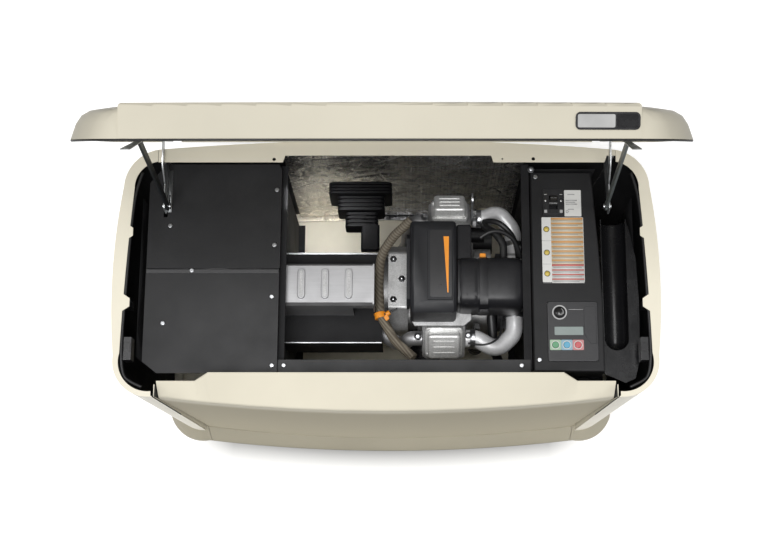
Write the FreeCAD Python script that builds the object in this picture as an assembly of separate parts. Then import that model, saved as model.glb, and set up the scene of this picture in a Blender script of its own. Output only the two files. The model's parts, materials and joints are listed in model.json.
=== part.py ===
import FreeCAD, Part
import math
import os

# Home standby generator: sheet-metal enclosure on a base tray, hinged lid held open by two
# slotted stays, lift-off front panel, V-twin engine with an alternator on its crankshaft,
# exhaust bay on the left and control bay on the right.  Millimetres, +Z up, +Y to the rear.
# Origin: centre of the base on the ground.

# ---------------------------------------------------------------- driving dimensions
L_LID = 1216.0          # lid length
D_LID = 638.0           # lid depth
H_ALL = 732.0           # height over the closed lid
RIM_Z = 667.0           # underside of the closed lid's rim
LID_OPEN = 71.35        # opening angle of the lid, degrees (rest pose)
HINGE_Y, HINGE_Z = 300.0, 679.6
WALL = 2.0              # sheet thickness of the enclosure
TOP_Z = 660.0           # top of the side and rear walls
BOT_Z = 90.0            # bottom of the walls, on the base skirt
TAPER = 0.0666          # how much narrower the end walls are at the bottom
SKIRT_H = 88.0
CRANK_Y, CRANK_Z = 28.0, 300.0
V_HALF = 42.0           # half angle between the two cylinders, degrees
STAY_Y, STAY_Z = 153.0, 626.0      # lower pivot of the stays
STAY_X0, STAY_X1 = 493.0, 498.0    # thickness range of the stays
TIP_Y, TIP_Z = -54.0, 690.0        # stay tip in the closed lid's frame, when the lid is open
TIP_CLOSED_Z = 700.0               # stay tip height with the lid closed
PIN_R = 4.0
RUN = 0.05              # radial running clearance
COVER_Z = 610.0         # top of the exhaust bay's cover plates
DIV_L, DIV_R = -247.0, 322.0       # bulkheads
PANEL_Z = 620.0         # top of the control panel
EX_FY, EX_RY = -86.0, 112.0        # exhaust pipes beside the alternator
EX_FZ, EX_RZ = 396.0, 190.0
SHR_Z = 440.0                       # top of the alternator shroud

V = FreeCAD.Vector
os.makedirs("parts", exist_ok=True)
parts = {}


# ---------------------------------------------------------------- helpers
def box(x0, y0, z0, x1, y1, z1):
    return Part.makeBox(x1 - x0, y1 - y0, z1 - z0, V(x0, y0, z0))


def cyl(x, y, z, r, h, ax=(0, 0, 1)):
    return Part.makeCylinder(r, h, V(x, y, z), V(*ax))


def tube(x, y, z, r, ri, h, ax=(0, 0, 1)):
    a = V(*ax)
    a.normalize()
    o = V(x, y, z)
    return Part.makeCylinder(r, h, o, a).cut(Part.makeCylinder(ri, h + 2, o - a, a))


def face(pts):
    return Part.Face(Part.makePolygon([V(*p) for p in pts] + [V(*pts[0])]))


def prism_xy(pts, z0, z1):
    return face([(x, y, z0) for x, y in pts]).extrude(V(0, 0, z1 - z0))


def prism_yz(pts, x0, x1):
    return face([(x0, y, z) for y, z in pts]).extrude(V(x1 - x0, 0, 0))


def prism_xz(pts, y0, y1):
    return face([(x, y0, z) for x, z in pts]).extrude(V(0, y1 - y0, 0))


def fillet(s, r, pred):
    es = []
    for e in s.Edges:
        try:
            m = e.valueAt((e.FirstParameter + e.LastParameter) / 2)
            if pred(e, m):
                es.append(e)
        except Exception:
            pass
    if not es:
        return s
    try:
        f = s.makeFillet(r, es)
        if f.isValid() and f.Volume > 0:
            return f
    except Exception:
        pass
    return s


def vert(e):
    a, b = e.Vertexes[0].Point, e.Vertexes[-1].Point
    return abs(a.x - b.x) < 1e-3 and abs(a.y - b.y) < 1e-3 and abs(a.z - b.z) > 1


def along(e, ax):
    a, b = e.Vertexes[0].Point, e.Vertexes[-1].Point
    d = [abs(b.x - a.x), abs(b.y - a.y), abs(b.z - a.z)]
    return d[ax] > 1 and sum(d) - d[ax] < 1e-3


def rbox(x0, y0, z0, x1, y1, z1, r, ax=2):
    s = box(x0, y0, z0, x1, y1, z1)
    return fillet(s, r, lambda e, m: along(e, ax))


def softbox(x0, y0, z0, x1, y1, z1, r, rt):
    s = rbox(x0, y0, z0, x1, y1, z1, r)
    return fillet(s, rt, lambda e, m: abs(m.z - z1) < 1e-3)


def circ(p, m, q):
    d = 2 * (p[0] * (m[1] - q[1]) + m[0] * (q[1] - p[1]) + q[0] * (p[1] - m[1]))
    if abs(d) < 1e-3:
        return None
    s = [a[0] ** 2 + a[1] ** 2 for a in (p, m, q)]
    ux = (s[0] * (m[1] - q[1]) + s[1] * (q[1] - p[1]) + s[2] * (p[1] - m[1])) / d
    uy = (s[0] * (q[0] - m[0]) + s[1] * (p[0] - q[0]) + s[2] * (m[0] - p[0])) / d
    return ux, uy


def normal_at(p, c, ch):
    # outward normal of a clockwise loop: left of the travel direction
    if c is None:
        t = ch
    else:
        t = (-(p[1] - c[1]), p[0] - c[0])
        if t[0] * ch[0] + t[1] * ch[1] < 0:
            t = (-t[0], -t[1])
    n = (-t[1], t[0])
    k = math.hypot(*n)
    return n[0] / k, n[1] / k


def offset(pts, tx, ty=None):
    # pts alternate vertex, arc middle; moves each along its outward normal
    ty = tx if ty is None else ty
    n = len(pts)
    out = [None] * n
    nv = {}
    for i in range(0, n, 2):
        p, m, q = pts[i], pts[i + 1], pts[(i + 2) % n]
        c = circ(p, m, q)
        ch = (q[0] - p[0], q[1] - p[1])
        nv.setdefault(i, []).append(normal_at(p, c, ch))
        nv.setdefault((i + 2) % n, []).append(normal_at(q, c, ch))
        nv[i + 1] = [normal_at(m, c, ch)]
    for i in range(n):
        ax = sum(a[0] for a in nv[i])
        ay = sum(a[1] for a in nv[i])
        k = math.hypot(ax, ay)
        out[i] = (pts[i][0] + ax / k * tx, pts[i][1] + ay / k * ty)
    return out


def edges(pts, z, sx=1.0):
    n = len(pts)
    es = []
    for i in range(0, n, 2):
        p, m, q = [V(a[0] * sx, a[1], z) for a in (pts[i], pts[i + 1], pts[(i + 2) % n])]
        if circ(p, m, q) is None:
            es.append(Part.LineSegment(p, q).toShape())
        else:
            es.append(Part.Arc(p, m, q).toShape())
    return es


def wire(pts, z, sx=1.0):
    return Part.Wire(edges(pts, z, sx))


def loft(ws):
    return Part.makeLoft(ws, True, True)


def mirror_x(s):
    return s.mirror(V(0, 0, 0), V(1, 0, 0))


def path_pipe(pts, r, bend):
    # straight runs joined by tangent arcs, swept with a round section
    P = [V(*p) for p in pts]
    es = []
    cur = P[0]
    for i in range(1, len(P) - 1):
        a = (P[i - 1] - P[i])
        b = (P[i + 1] - P[i])
        la, lb = a.Length, b.Length
        a.normalize()
        b.normalize()
        turn = math.pi - math.acos(max(-1, min(1, a.dot(b))))
        t = bend * math.tan(turn / 2)
        t = min(t, 0.45 * la, 0.45 * lb)
        rr = t / math.tan(turn / 2)
        s, e = P[i] + a * t, P[i] + b * t
        bis = a + b
        bis.normalize()
        cen = P[i] + bis * (rr / math.cos(turn / 2))
        mid = cen - bis * rr
        if (s - cur).Length > 1e-3:
            es.append(Part.LineSegment(cur, s).toShape())
        es.append(Part.Arc(s, mid, e).toShape())
        cur = e
    es.append(Part.LineSegment(cur, P[-1]).toShape())
    w = Part.Wire(es)
    d = (P[1] - P[0])
    d.normalize()
    sec = Part.Wire([Part.makeCircle(r, P[0], d)])
    s = w.makePipeShell([sec], True, False)
    return s, w.Length


def bolt(x, y, z, ax, r=4.0, h=4.0, shank=0.0):
    # hexagon head on a washer, axis pointing out of the surface
    a = V(*ax)
    a.normalize()
    ref = V(0, 0, 1) if abs(a.z) < 0.9 else V(1, 0, 0)
    u = a.cross(ref)
    u.normalize()
    w = a.cross(u)
    o = V(x, y, z)
    pts = []
    for k in range(6):
        t = math.radians(60 * k)
        pts.append(o + u * (r * 1.15 * math.cos(t)) + w * (r * 1.15 * math.sin(t)))
    hexa = Part.Face(Part.makePolygon(pts + [pts[0]])).extrude(a * h)
    s = hexa.fuse(Part.makeCylinder(r * 1.5, 1.0, o, a))
    if shank:
        s = s.fuse(Part.makeCylinder(r * 0.55, shank, o - a * shank, a))
    return s.removeSplitter()


def pan(x, y, z, r=5.0, h=2.6, shank=1.5, ax=(0, 0, 1)):
    # pan-head screw
    a = V(*ax)
    a.normalize()
    o = V(x, y, z)
    s = Part.makeCylinder(r, h, o, a)
    s = fillet(s, h * 0.6, lambda e, m: abs((m - o).dot(a) - h) < 1e-3)
    if shank:
        s = s.fuse(Part.makeCylinder(r * 0.5, shank, o - a * shank, a))
    return s


def one(name, s):
    parts[name] = s


def group(name, ss):
    flat = []
    for s in ss:
        flat += s.Solids
    parts[name] = Part.makeCompound(flat)


def taper(z):
    return 1.0 - (TOP_Z - z) / (TOP_Z - BOT_Z) * TAPER


def cut_all(s, tools):
    for t in tools:
        s = s.cut(t)
    return s


def biggest(s):
    return sorted(s.Solids, key=lambda a: -a.Volume)[0]


# ---------------------------------------------------------------- plan outlines (clockwise from rear left)
BODY = [(-514, 276), (0, 298), (514, 276), (564, 250), (589, 190), (604.5, 0), (595, -196),
        (572, -262), (509, -286), (0, -318), (-509, -286), (-572, -262), (-595, -196),
        (-604.5, 0), (-589, 190), (-564, 250)]
BASE_T = [(-470, 278), (0, 303), (470, 278), (545, 255), (567, 205), (572, 0), (567, -232),
          (537, -262), (470, -276), (0, -306), (-470, -276), (-537, -262), (-567, -232),
          (-572, 0), (-567, 205), (-545, 255)]
BASE_B = [(-476, 292), (0, 316), (476, 292), (552, 266), (574, 208), (579, 0), (574, -244),
          (546, -284), (476, -301), (0, -329), (-476, -301), (-546, -284), (-574, -244),
          (-579, 0), (-574, 208), (-552, 266)]
LIDP = [(-530, 306), (0, 309), (530, 306), (585, 275), (604, 205), (608, 60), (606, -91),
        (586, -190), (537, -271), (517, -288), (490, -299), (0, -329), (-490, -299),
        (-517, -288), (-537, -271), (-586, -190), (-606, -91), (-608, 60), (-604, 205),
        (-585, 275)]

# ---------------------------------------------------------------- base
tray_o = offset(BASE_T, -9)
tray = Part.Face(wire(tray_o, 74)).extrude(V(0, 0, 4))
lip = Part.Face(wire(tray_o, 60)).cut(Part.Face(wire(offset(tray_o, -3), 60))).extrude(V(0, 0, 14.5))
one("base_tray", tray.fuse(lip).removeSplitter())

rails = []
for x in (-420, 0, 420):
    r = rbox(x - 35, -262, 0, x + 35, 262, 74, 6, 1).cut(rbox(x - 31, -270, 4, x + 31, 270, 70, 3, 1))
    if x:
        for y in (-235, 235):
            r = r.cut(cyl(x, y, -2, 7.0, 10))
    rails.append(r)
group("base_rails", rails)

sk_o = loft([wire(BASE_B, 0), wire(offset(BASE_B, -1), 22), wire(BASE_T, SKIRT_H)])
sk_i = loft([wire(offset(BASE_B, -5), -1), wire(offset(BASE_B, -6), 22), wire(offset(BASE_T, -5), SKIRT_H + 1)])
skirt = sk_o.cut(sk_i)
ledge = Part.Face(wire(offset(BASE_T, -0.6), SKIRT_H - 4)).cut(
    Part.Face(wire(offset(BASE_T, -26), SKIRT_H - 4))).extrude(V(0, 0, 4))
skirt = skirt.fuse(ledge).removeSplitter()
mid = box(-466.5, -400, -10, 466.5, 400, 200)
sides = skirt.common(mid)
group("base_skirt_sides", sides.Solids)
ends = skirt.cut(box(-467.5, -400, -10, 467.5, 400, 200))
group("base_skirt_ends", ends.Solids)

# ---------------------------------------------------------------- enclosure walls
z_lv = [BOT_Z, 375, TOP_Z]
w_o = loft([wire(BODY, z, taper(z)) for z in z_lv])
BODY_I = offset(BODY, -WALL)
w_i = loft([wire(BODY_I, z, taper(z)) for z in (BOT_Z - 6, 375, TOP_Z + 6)])
wall = w_o.cut(w_i)


def seam(x, z0=60.0, z1=700.0):
    return [(-x * taper(z0), z0), (x * taper(z0), z0), (x * taper(z1), z1), (-x * taper(z1), z1)]


front_cut = prism_xz(seam(506), -420, -60)
rear_cut = prism_xz(seam(515.5), 100, 420)
rear_keep = prism_xz(seam(514.5), 150, 420)
end_wall = wall.cut(front_cut).cut(rear_cut)
BODY_F = [(514, 248), (552, 226), (565, 185), (576, -10), (581, -190), (566, -252), (509, -274)]
fl_edges = edges(BODY, TOP_Z - WALL)[1:4]
inner = [V(a[0], a[1], TOP_Z - WALL) for a in BODY_F]
fl = fl_edges + [Part.LineSegment(V(509, -286, TOP_Z - WALL), inner[6]).toShape(),
                 Part.Arc(inner[6], inner[5], inner[4]).toShape(),
                 Part.Arc(inner[4], inner[3], inner[2]).toShape(),
                 Part.Arc(inner[2], inner[1], inner[0]).toShape(),
                 Part.LineSegment(inner[0], V(514, 276, TOP_Z - WALL)).toShape()]
flange = Part.Face(Part.Wire(Part.__sortEdges__(fl))).extrude(V(0, 0, WALL))
flange = flange.cut(rear_cut)
tabs = None
for y in (84, -77):
    xi = 573
    t = prism_xy([(xi + 16, y + 26), (xi - 9, y + 9), (xi - 9, y - 9), (xi + 16, y - 26)], TOP_Z - WALL, TOP_Z)
    tabs = t if tabs is None else tabs.fuse(t)
jamb = prism_xz([(506 * taper(92), 92), (508 * taper(92), 92), (508 * taper(640), 640), (506 * taper(640), 640)],
                -283, -256)
jamb = jamb.fuse(prism_xz([(470 * taper(92), 92), (508 * taper(92), 92), (508 * taper(594), 594),
                           (470 * taper(594), 594)], -258, -256))
right = biggest(end_wall.common(box(0, -500, 0, 900, 500, 900)))
end_r = right.fuse(flange).fuse(tabs).fuse(jamb).removeSplitter()
foot = Part.Face(wire(offset(BODY, -0.5), BOT_Z, taper(BOT_Z))).cut(
    Part.Face(wire(offset(BODY, -24), BOT_Z, taper(BOT_Z)))).extrude(V(0, 0, 2))
foot_r = foot.common(box(0, -500, 0, 900, 500, 900)).cut(front_cut).cut(rear_cut)
end_r = end_r.fuse(foot_r).removeSplitter()
# louvres for the cooling air, pressed slots in five rows
slots = []
for k in range(6):
    z = 190 + 42 * k
    slots.append(rbox(480, -120, z, 680, 120, z + 12, 5, 0))
LOCK_Y, LOCK_Z, LOCK_R = -70.0, 585.0, 9.0
lock_hole = cyl(500, LOCK_Y, LOCK_Z, LOCK_R + 0.4, 200, (1, 0, 0))
end_r = cut_all(end_r, slots + [lock_hole])
end_r = biggest(end_r)
one("end_panel_right", end_r)
one("end_panel_left", mirror_x(end_r))

rear = wall.common(rear_keep)
rf = Part.Face(wire(offset(BODY, -0.2), TOP_Z - WALL)).extrude(V(0, 0, WALL))
rf = rf.common(prism_xy([(-514.5, 246), (-234, 246), (-229, 262), (235, 262), (240, 246), (490, 246),
                         (496, 262), (514.5, 262), (514.5, 400), (-514.5, 400)], TOP_Z - 10, TOP_Z + 10))
rear_foot = Part.Face(wire(offset(BODY, -0.5), BOT_Z, taper(BOT_Z))).cut(
    Part.Face(wire(offset(BODY, -24), BOT_Z, taper(BOT_Z)))).extrude(V(0, 0, 2)).common(rear_keep)
rear = rear.fuse(rf).fuse(rear_foot).removeSplitter()
for x, y, r in ((-254, 253, 4), (330, 254, 4), (260, 254, 2.2)):
    rear = rear.cut(cyl(x, y, TOP_Z - 8, r, 16))
# cooling air inlet louvres, fuel inlet and conduit entry
for k in range(7):
    for x0, x1 in ((-470, -290), (350, 460)):
        rear = rear.cut(rbox(x0, 230, 250 + 38 * k, x1, 330, 261 + 38 * k, 5, 1))
FUEL_X, FUEL_Z, FUEL_R = 250.0, 150.0, 17.0
COND_X, COND_Z, COND_R = 420.0, 150.0, 14.0
boss_f = cyl(FUEL_X, 268, FUEL_Z, FUEL_R + 9, 24, (0, 1, 0))
boss_c = cyl(COND_X, 260, COND_Z, COND_R + 6, 24, (0, 1, 0))
rear = rear.fuse(boss_f).fuse(boss_c)
rear = rear.cut(cyl(FUEL_X, 240, FUEL_Z, FUEL_R, 100, (0, 1, 0))).cut(cyl(COND_X, 240, COND_Z, COND_R, 100, (0, 1, 0)))
rear = biggest(rear)
one("rear_panel", rear)

# quilted insulation on the rear wall of the engine bay
ins_o = offset(BODY, -WALL - 0.6)
ins_i = offset(BODY, -WALL - 11)
ins = loft([wire(ins_o, z, taper(z)) for z in (96, 420, 640)]).cut(
    loft([wire(ins_i, z, taper(z)) for z in (90, 420, 650)]))
ins = ins.common(box(-240, 150, 104, 316, 400, 640))
ins = ins.cut(cyl(FUEL_X, 200, FUEL_Z, FUEL_R + 16, 120, (0, 1, 0)))
one("rear_insulation", biggest(ins))

# bulkheads on both sides of the engine bay
dl = box(DIV_L, -232, 78, DIV_L + 2, 262, 582)
dl = dl.fuse(box(DIV_L, -215, 580, DIV_L + 18, 262, 582)).fuse(box(DIV_L, -232, 78, DIV_L + 18, 262, 80))
dl = dl.cut(cyl(DIV_L - 5, CRANK_Y, CRANK_Z, 55, 30, (1, 0, 0)))
dl = dl.cut(cyl(DIV_L - 5, EX_FY - 9, EX_FZ, 25, 30, (1, 0, 0))).cut(cyl(DIV_L - 5, EX_RY, EX_RZ, 20, 30, (1, 0, 0)))
dr = box(DIV_R, -232, 78, DIV_R + 2, 262, 595)
dr = dr.fuse(box(DIV_R - 16, -215, 593, DIV_R + 2, 262, 595)).fuse(box(DIV_R - 16, -232, 78, DIV_R + 2, 262, 80))
dr = dr.cut(cyl(DIV_R - 30, 150, 220, 22, 60, (1, 0, 0)))
group("bulkheads", [biggest(dl.removeSplitter()), biggest(dr.removeSplitter())])

# cover plates of the exhaust bay
cr = prism_xy([(-541, 8), (-247, 8), (-241, 14), (-241, 246), (-247, 258), (-505, 258), (-541, 214)], COVER_Z - 4, COVER_Z - 2)
cr = cr.fuse(box(-243, 14, COVER_Z - 26, -241, 246, COVER_Z - 2))
cr = cr.cut(box(-507, 132, 560, -498, 300, 660))
cf = prism_xy([(-541, 14), (-244, 14), (-242, 10), (-242, -222), (-247, -226), (-508, -226), (-541, -200)], COVER_Z - 2, COVER_Z)
cf = cf.fuse(box(-244, -222, COVER_Z - 26, -242, 6, COVER_Z - 2))
cover_screw_xy_r = [(-491, 112), (-251, 197), (-254, 67)]
cover_screw_xy_f = [(-498, -114), (-257, -53), (-253, -209)]
for x, y in cover_screw_xy_r:
    cr = cr.cut(cyl(x, y, COVER_Z - 10, 3, 20))
for x, y in cover_screw_xy_f + [(-438, 7)]:
    cf = cf.cut(cyl(x, y, COVER_Z - 10, 3, 20))
cr = cr.cut(cyl(-438, 7, COVER_Z - 10, 3, 20))
one("exhaust_cover_rear", biggest(cr.removeSplitter()))
one("exhaust_cover_front", biggest(cf.removeSplitter()))

# ---------------------------------------------------------------- front panel
stations = [-1, -0.92, -0.834, -0.768, -0.6, -0.4, -0.2, 0, 0.2, 0.4, 0.6, 0.768, 0.834, 0.92, 1]
X_TOP, X_BOT = 504.0, 467.0


def fp_x(s, z):
    return s * (X_BOT + (X_TOP - X_BOT) * (z - 95.0) / 555.0)


def fp_prof(s):
    k = 1 - s * s
    yb = -275 - 31 * k
    yc = -281 - 31 * k
    a = abs(s)
    t = min(1.0, max(0.0, (0.834 - a) / 0.066))
    yl = -247 + t * 15
    zl = 634 + t * 23
    return [(yb, 95), (yc, 603), (yc + 6, 611), (yl - 3, zl), (yl, zl - 1), (yl, zl - 16),
            (yl - 2, zl - 16), (yl - 2.2, zl - 3.4), (yc + 7, 608.8), (yc + 2, 602), (yb + 2, 97.5),
            (yb + 14, 97.5), (yb + 14, 95)]


def fp_wire(s, pr=None):
    pts = [V(fp_x(s, z), y, z) for y, z in (pr or fp_prof(s))]
    return Part.makePolygon(pts + [pts[0]])


fp = loft([fp_wire(s) for s in stations])


def end_prof(s):
    p = fp_prof(1)
    yb, yc, yl, zl = p[0][0], p[1][0], p[3][0], p[3][1]
    return [(yb, 95), (yc, 603), (yc + 6, 611), (yl, zl), (yl + 1, zl - 2), (yl + 1, 612), (yc + 17, 600), (yb + 14, 95)]


for sg in (-1, 1):
    a, b = sg, sg * (1 - 2.0 / 504)
    ws = [fp_wire(a, end_prof(1)), fp_wire(b, end_prof(1))]
    if sg < 0:
        ws = ws[::-1]
    fp = fp.fuse(loft(ws))
one("front_panel", biggest(fp.removeSplitter()))


# ---------------------------------------------------------------- lid (drawn closed, then opened)
def lid_levels(t, dz, bottom):
    lv = [(0, 0, 0), (30, 11, 2.2), (46, 22, 4.5), (55, 38, 8), (60, 72, 18), (61.5, 120, 60)]
    out = []
    for h, tx, ty in lv:
        o = offset(LIDP, -t)
        kx, ky = 1.0 - tx / (L_LID / 2 - t), 1.0 - ty / (D_LID / 2 - t)
        o = [(x * kx, -10 + (y + 10) * ky) for x, y in o]
        out.append(wire(o, RIM_Z + (bottom if h == 0 else h - dz)))
    return loft(out)


def pad(t, z0, z1, xh, rf):
    o = offset(LIDP, 0, 1.2 - t)
    f = Part.Face(wire(o, z0)).extrude(V(0, 0, z1 - z0))
    f = f.common(box(-xh, -500, z0 - 1, xh, 500, z1 + 1))
    return fillet(f, rf, lambda e, m: abs(m.z - z1) < 1e-3)


outer = lid_levels(0, 0, 0).fuse(pad(0, RIM_Z + 0.5, H_ALL, 474, 7))
inner_l = lid_levels(2.4, 2.6, -3).fuse(pad(2.8, RIM_Z - 2, H_ALL - 2.4, 471.4, 5))
lid = outer.cut(inner_l)
for sg in (-1, 1):
    x0, x1 = sorted((sg * 462, sg * 506))
    lid = lid.cut(box(x0, 285, RIM_Z - 5, x1, 330, RIM_Z + 27))
lid = biggest(lid)
badge = rbox(352.5, -335, RIM_Z + 16, 471.5, -285, RIM_Z + 48, 9, 1)
badge = badge.common(Part.Face(wire(offset(LIDP, 0, 3.4), RIM_Z)).extrude(V(0, 0, 64)).common(
    box(-474, -500, 0, 474, 500, 800)))
badge = biggest(badge.cut(Part.Face(wire(offset(LIDP, 0, 1.25), RIM_Z - 5)).extrude(V(0, 0, 80))))

# stay geometry in the closed lid's frame
cO = math.radians(LID_OPEN)


def rot(y, z, a, cy=HINGE_Y, cz=HINGE_Z):
    dy, dz = y - cy, z - cz
    return cy + dy * math.cos(a) - dz * math.sin(a), cz + dy * math.sin(a) + dz * math.cos(a)


A0 = rot(TIP_Y, TIP_Z, -cO)
STAY_L = math.hypot(A0[0] - STAY_Y, A0[1] - STAY_Z)
th0 = math.atan2(-(A0[0] - STAY_Y), A0[1] - STAY_Z)
th1 = math.acos((TIP_CLOSED_Z - STAY_Z) / STAY_L)
RATIO = (th1 - th0) / cO
print("stay length %.3f ratio %.6f travel %.4f deg" % (STAY_L, RATIO, math.degrees(th1 - th0)))
path = []
N = 28
for k in range(N + 1):
    phi = cO * k / N
    th = th0 + RATIO * phi
    T = (STAY_Y - STAY_L * math.sin(th), STAY_Z + STAY_L * math.cos(th))
    path.append(rot(T[0], T[1], cO - phi))


def slot_face(pts, r, x):
    lft, rgt = [], []
    for i, p in enumerate(pts):
        a = pts[max(0, i - 1)]
        b = pts[min(len(pts) - 1, i + 1)]
        d = (b[0] - a[0], b[1] - a[1])
        k = math.hypot(*d)
        n = (-d[1] / k, d[0] / k)
        lft.append((p[0] + n[0] * r, p[1] + n[1] * r))
        rgt.append((p[0] - n[0] * r, p[1] - n[1] * r))
    return lft, rgt


def slot_prism(pts, r, x0, x1):
    l, g = slot_face(pts, r, x0)
    s = prism_yz(l + g[::-1], x0, x1)
    for p in (pts[0], pts[-1]):
        s = s.fuse(cyl(x0, p[0], p[1], r, x1 - x0, (1, 0, 0)))
    return s


# lid bracket, right side: web with the ear and the curved slot, top flange and front flange
WX0, WX1 = 486.0, 489.5
web = prism_yz([(296, 668), (308, 676), (308, 684), (300, 690), (250, 706), (30, 712), (-60, 712),
                (-262, 714), (-262, 694), (-200, 664), (-60, 664), (-20, 668), (40, 668)], WX0, WX1)
web = web.cut(slot_prism(path, PIN_R + 0.6, WX0 - 5, WX1 + 5))
web = web.cut(cyl(WX0 - 5, HINGE_Y, HINGE_Z, PIN_R + RUN, 20, (1, 0, 0)))
arm_fl = prism_xy([(WX0 + 1, 284), (WX0 - 9, 284), (WX0 - 21, 200), (WX0 - 21, 12), (WX0 + 1, 12)], 668, 671)
top_fl = prism_xy([(WX0 - 14, 60), (WX1, 60), (WX1, -262), (WX0 - 14, -262)], 712, 714.5)
cross = box(WX0 - 21, -8, 668, WX0 + 1, 12, 671)
lb = biggest(web.fuse(arm_fl).fuse(top_fl).fuse(cross).removeSplitter())
inner_test = lid_levels(2.7, 3.0, -30).fuse(pad(3.1, RIM_Z - 30, H_ALL - 2.7, 471.0, 5))

# open everything that rides on the lid
axis0, axisd = V(0, HINGE_Y, HINGE_Z), V(1, 0, 0)


def opened(s):
    s = s.copy()
    s.rotate(axis0, axisd, -LID_OPEN)
    return s


one("lid_shell", opened(lid))
one("lid_badge", opened(badge))
group("lid_brackets", [opened(lb), opened(mirror_x(lb))])

# hinge brackets on the cabinet
hb = prism_yz([(140, 606), (270, 575), (270, 655), (242, 655), (242, 665), (286, 668), (292, 672), (308, 674),
               (308, 685), (302, 688), (292, 688), (270, 686), (236, 680), (216, 660), (200, 640), (160, 640),
               (146, 638), (140, 630)], 500.0, 503.0)
hb = hb.fuse(box(500, 260, 575, 512, 270, 655))
hb = fillet(hb, 3, lambda e, m: along(e, 0) and 290 < m.y)
hb = hb.cut(cyl(490, HINGE_Y, HINGE_Z, PIN_R, 30, (1, 0, 0))).cut(cyl(490, STAY_Y, STAY_Z, PIN_R, 30, (1, 0, 0)))
hb = biggest(hb.removeSplitter())
group("hinge_brackets", [hb, mirror_x(hb)])
pin_h = cyl(482, HINGE_Y, HINGE_Z, PIN_R, 24, (1, 0, 0)).fuse(cyl(479.5, HINGE_Y, HINGE_Z, 6.5, 3, (1, 0, 0))).fuse(
    cyl(503.4, HINGE_Y, HINGE_Z, 6.5, 2.6, (1, 0, 0)))
pin_s = cyl(490, STAY_Y, STAY_Z, PIN_R, 16, (1, 0, 0)).fuse(cyl(488.6, STAY_Y, STAY_Z, 6.5, 3, (1, 0, 0))).fuse(
    cyl(503.4, STAY_Y, STAY_Z, 6.5, 2.6, (1, 0, 0)))
group("hinge_pins", [pin_h, pin_s, mirror_x(pin_h), mirror_x(pin_s)])

# stays, straight bars with an eye at the bottom and a headed pin at the top
sd = (-math.sin(th0), math.cos(th0))
sn = (sd[1], -sd[0])
q = lambda a, b: (STAY_Y + sd[0] * a + sn[0] * b, STAY_Z + sd[1] * a + sn[1] * b)
bar = prism_yz([q(0, -7), q(0, 7), q(40, 8.5), q(STAY_L, 8.5), q(STAY_L, -8.5), q(40, -8.5)], STAY_X0, STAY_X1)
bar = bar.fuse(cyl(STAY_X0, STAY_Y, STAY_Z, 9.5, STAY_X1 - STAY_X0, (1, 0, 0)))
bar = bar.fuse(cyl(STAY_X0, A0[0], A0[1], 8.5, STAY_X1 - STAY_X0, (1, 0, 0)))
rib = prism_yz([q(34, -3.2), q(34, 3.2), q(STAY_L - 26, 3.2), q(STAY_L - 26, -3.2)], STAY_X1, STAY_X1 + 1.4)
bar = bar.fuse(rib)
bar = bar.cut(cyl(480, STAY_Y, STAY_Z, PIN_R + RUN, 40, (1, 0, 0)))
bar = bar.fuse(cyl(WX0 - 2.5, A0[0], A0[1], PIN_R, STAY_X0 - WX0 + 2.5, (1, 0, 0)))
bar = bar.fuse(cyl(WX0 - 3.2, A0[0], A0[1], 6.6, 2.7, (1, 0, 0)))
bar = biggest(bar.removeSplitter())
one("stay_right", bar)
one("stay_left", mirror_x(bar))

# quarter-turn locks through the end walls, with a cam inside
xo = 604.2 * taper(LOCK_Z)
lk = cyl(xo - 26, LOCK_Y, LOCK_Z, LOCK_R, 30, (1, 0, 0))
lk = lk.fuse(cyl(xo + 1.5, LOCK_Y, LOCK_Z, 15, 6, (1, 0, 0)))
lk = lk.cut(box(xo + 4.5, LOCK_Y - 1.2, LOCK_Z - 9, xo + 20, LOCK_Y + 1.2, LOCK_Z + 9))
lk = lk.fuse(rbox(xo - 28, LOCK_Y - 8, LOCK_Z - 9, xo - 24, LOCK_Y + 8, LOCK_Z + 34, 4, 0))
lk = biggest(lk.removeSplitter())
one("lock_right", lk)
one("lock_left", mirror_x(lk))

# ---------------------------------------------------------------- engine
ang = math.radians(V_HALF)
KF = (-math.sin(ang), math.cos(ang))     # front cylinder axis in (y, z)
KR = (math.sin(ang), math.cos(ang))
XF, XR = 130.0, 145.0
CX0, CX1 = 44.0, 246.0
DIP_X, DIP_Y = 210.0, -80.0


def at(k, r, t=0.0):
    # point at radius r along a cylinder axis, shifted t across it
    return CRANK_Y + k[0] * r + k[1] * t, CRANK_Z + k[1] * r - k[0] * t


def cyl_block(xc, k, r0, r1, hx, ht, rad=0.0):
    a, b, c, d = at(k, r0, -ht), at(k, r0, ht), at(k, r1, ht), at(k, r1, -ht)
    s = prism_yz([a, b, c, d], xc - hx, xc + hx)
    if rad:
        s = fillet(s, rad, lambda e, m: abs(e.Vertexes[0].X - e.Vertexes[-1].X) < 1e-3 and
                   abs(math.hypot(e.Vertexes[0].Y - e.Vertexes[-1].Y, e.Vertexes[0].Z - e.Vertexes[-1].Z) -
                       (r1 - r0)) < 1e-2)
    return s


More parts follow.
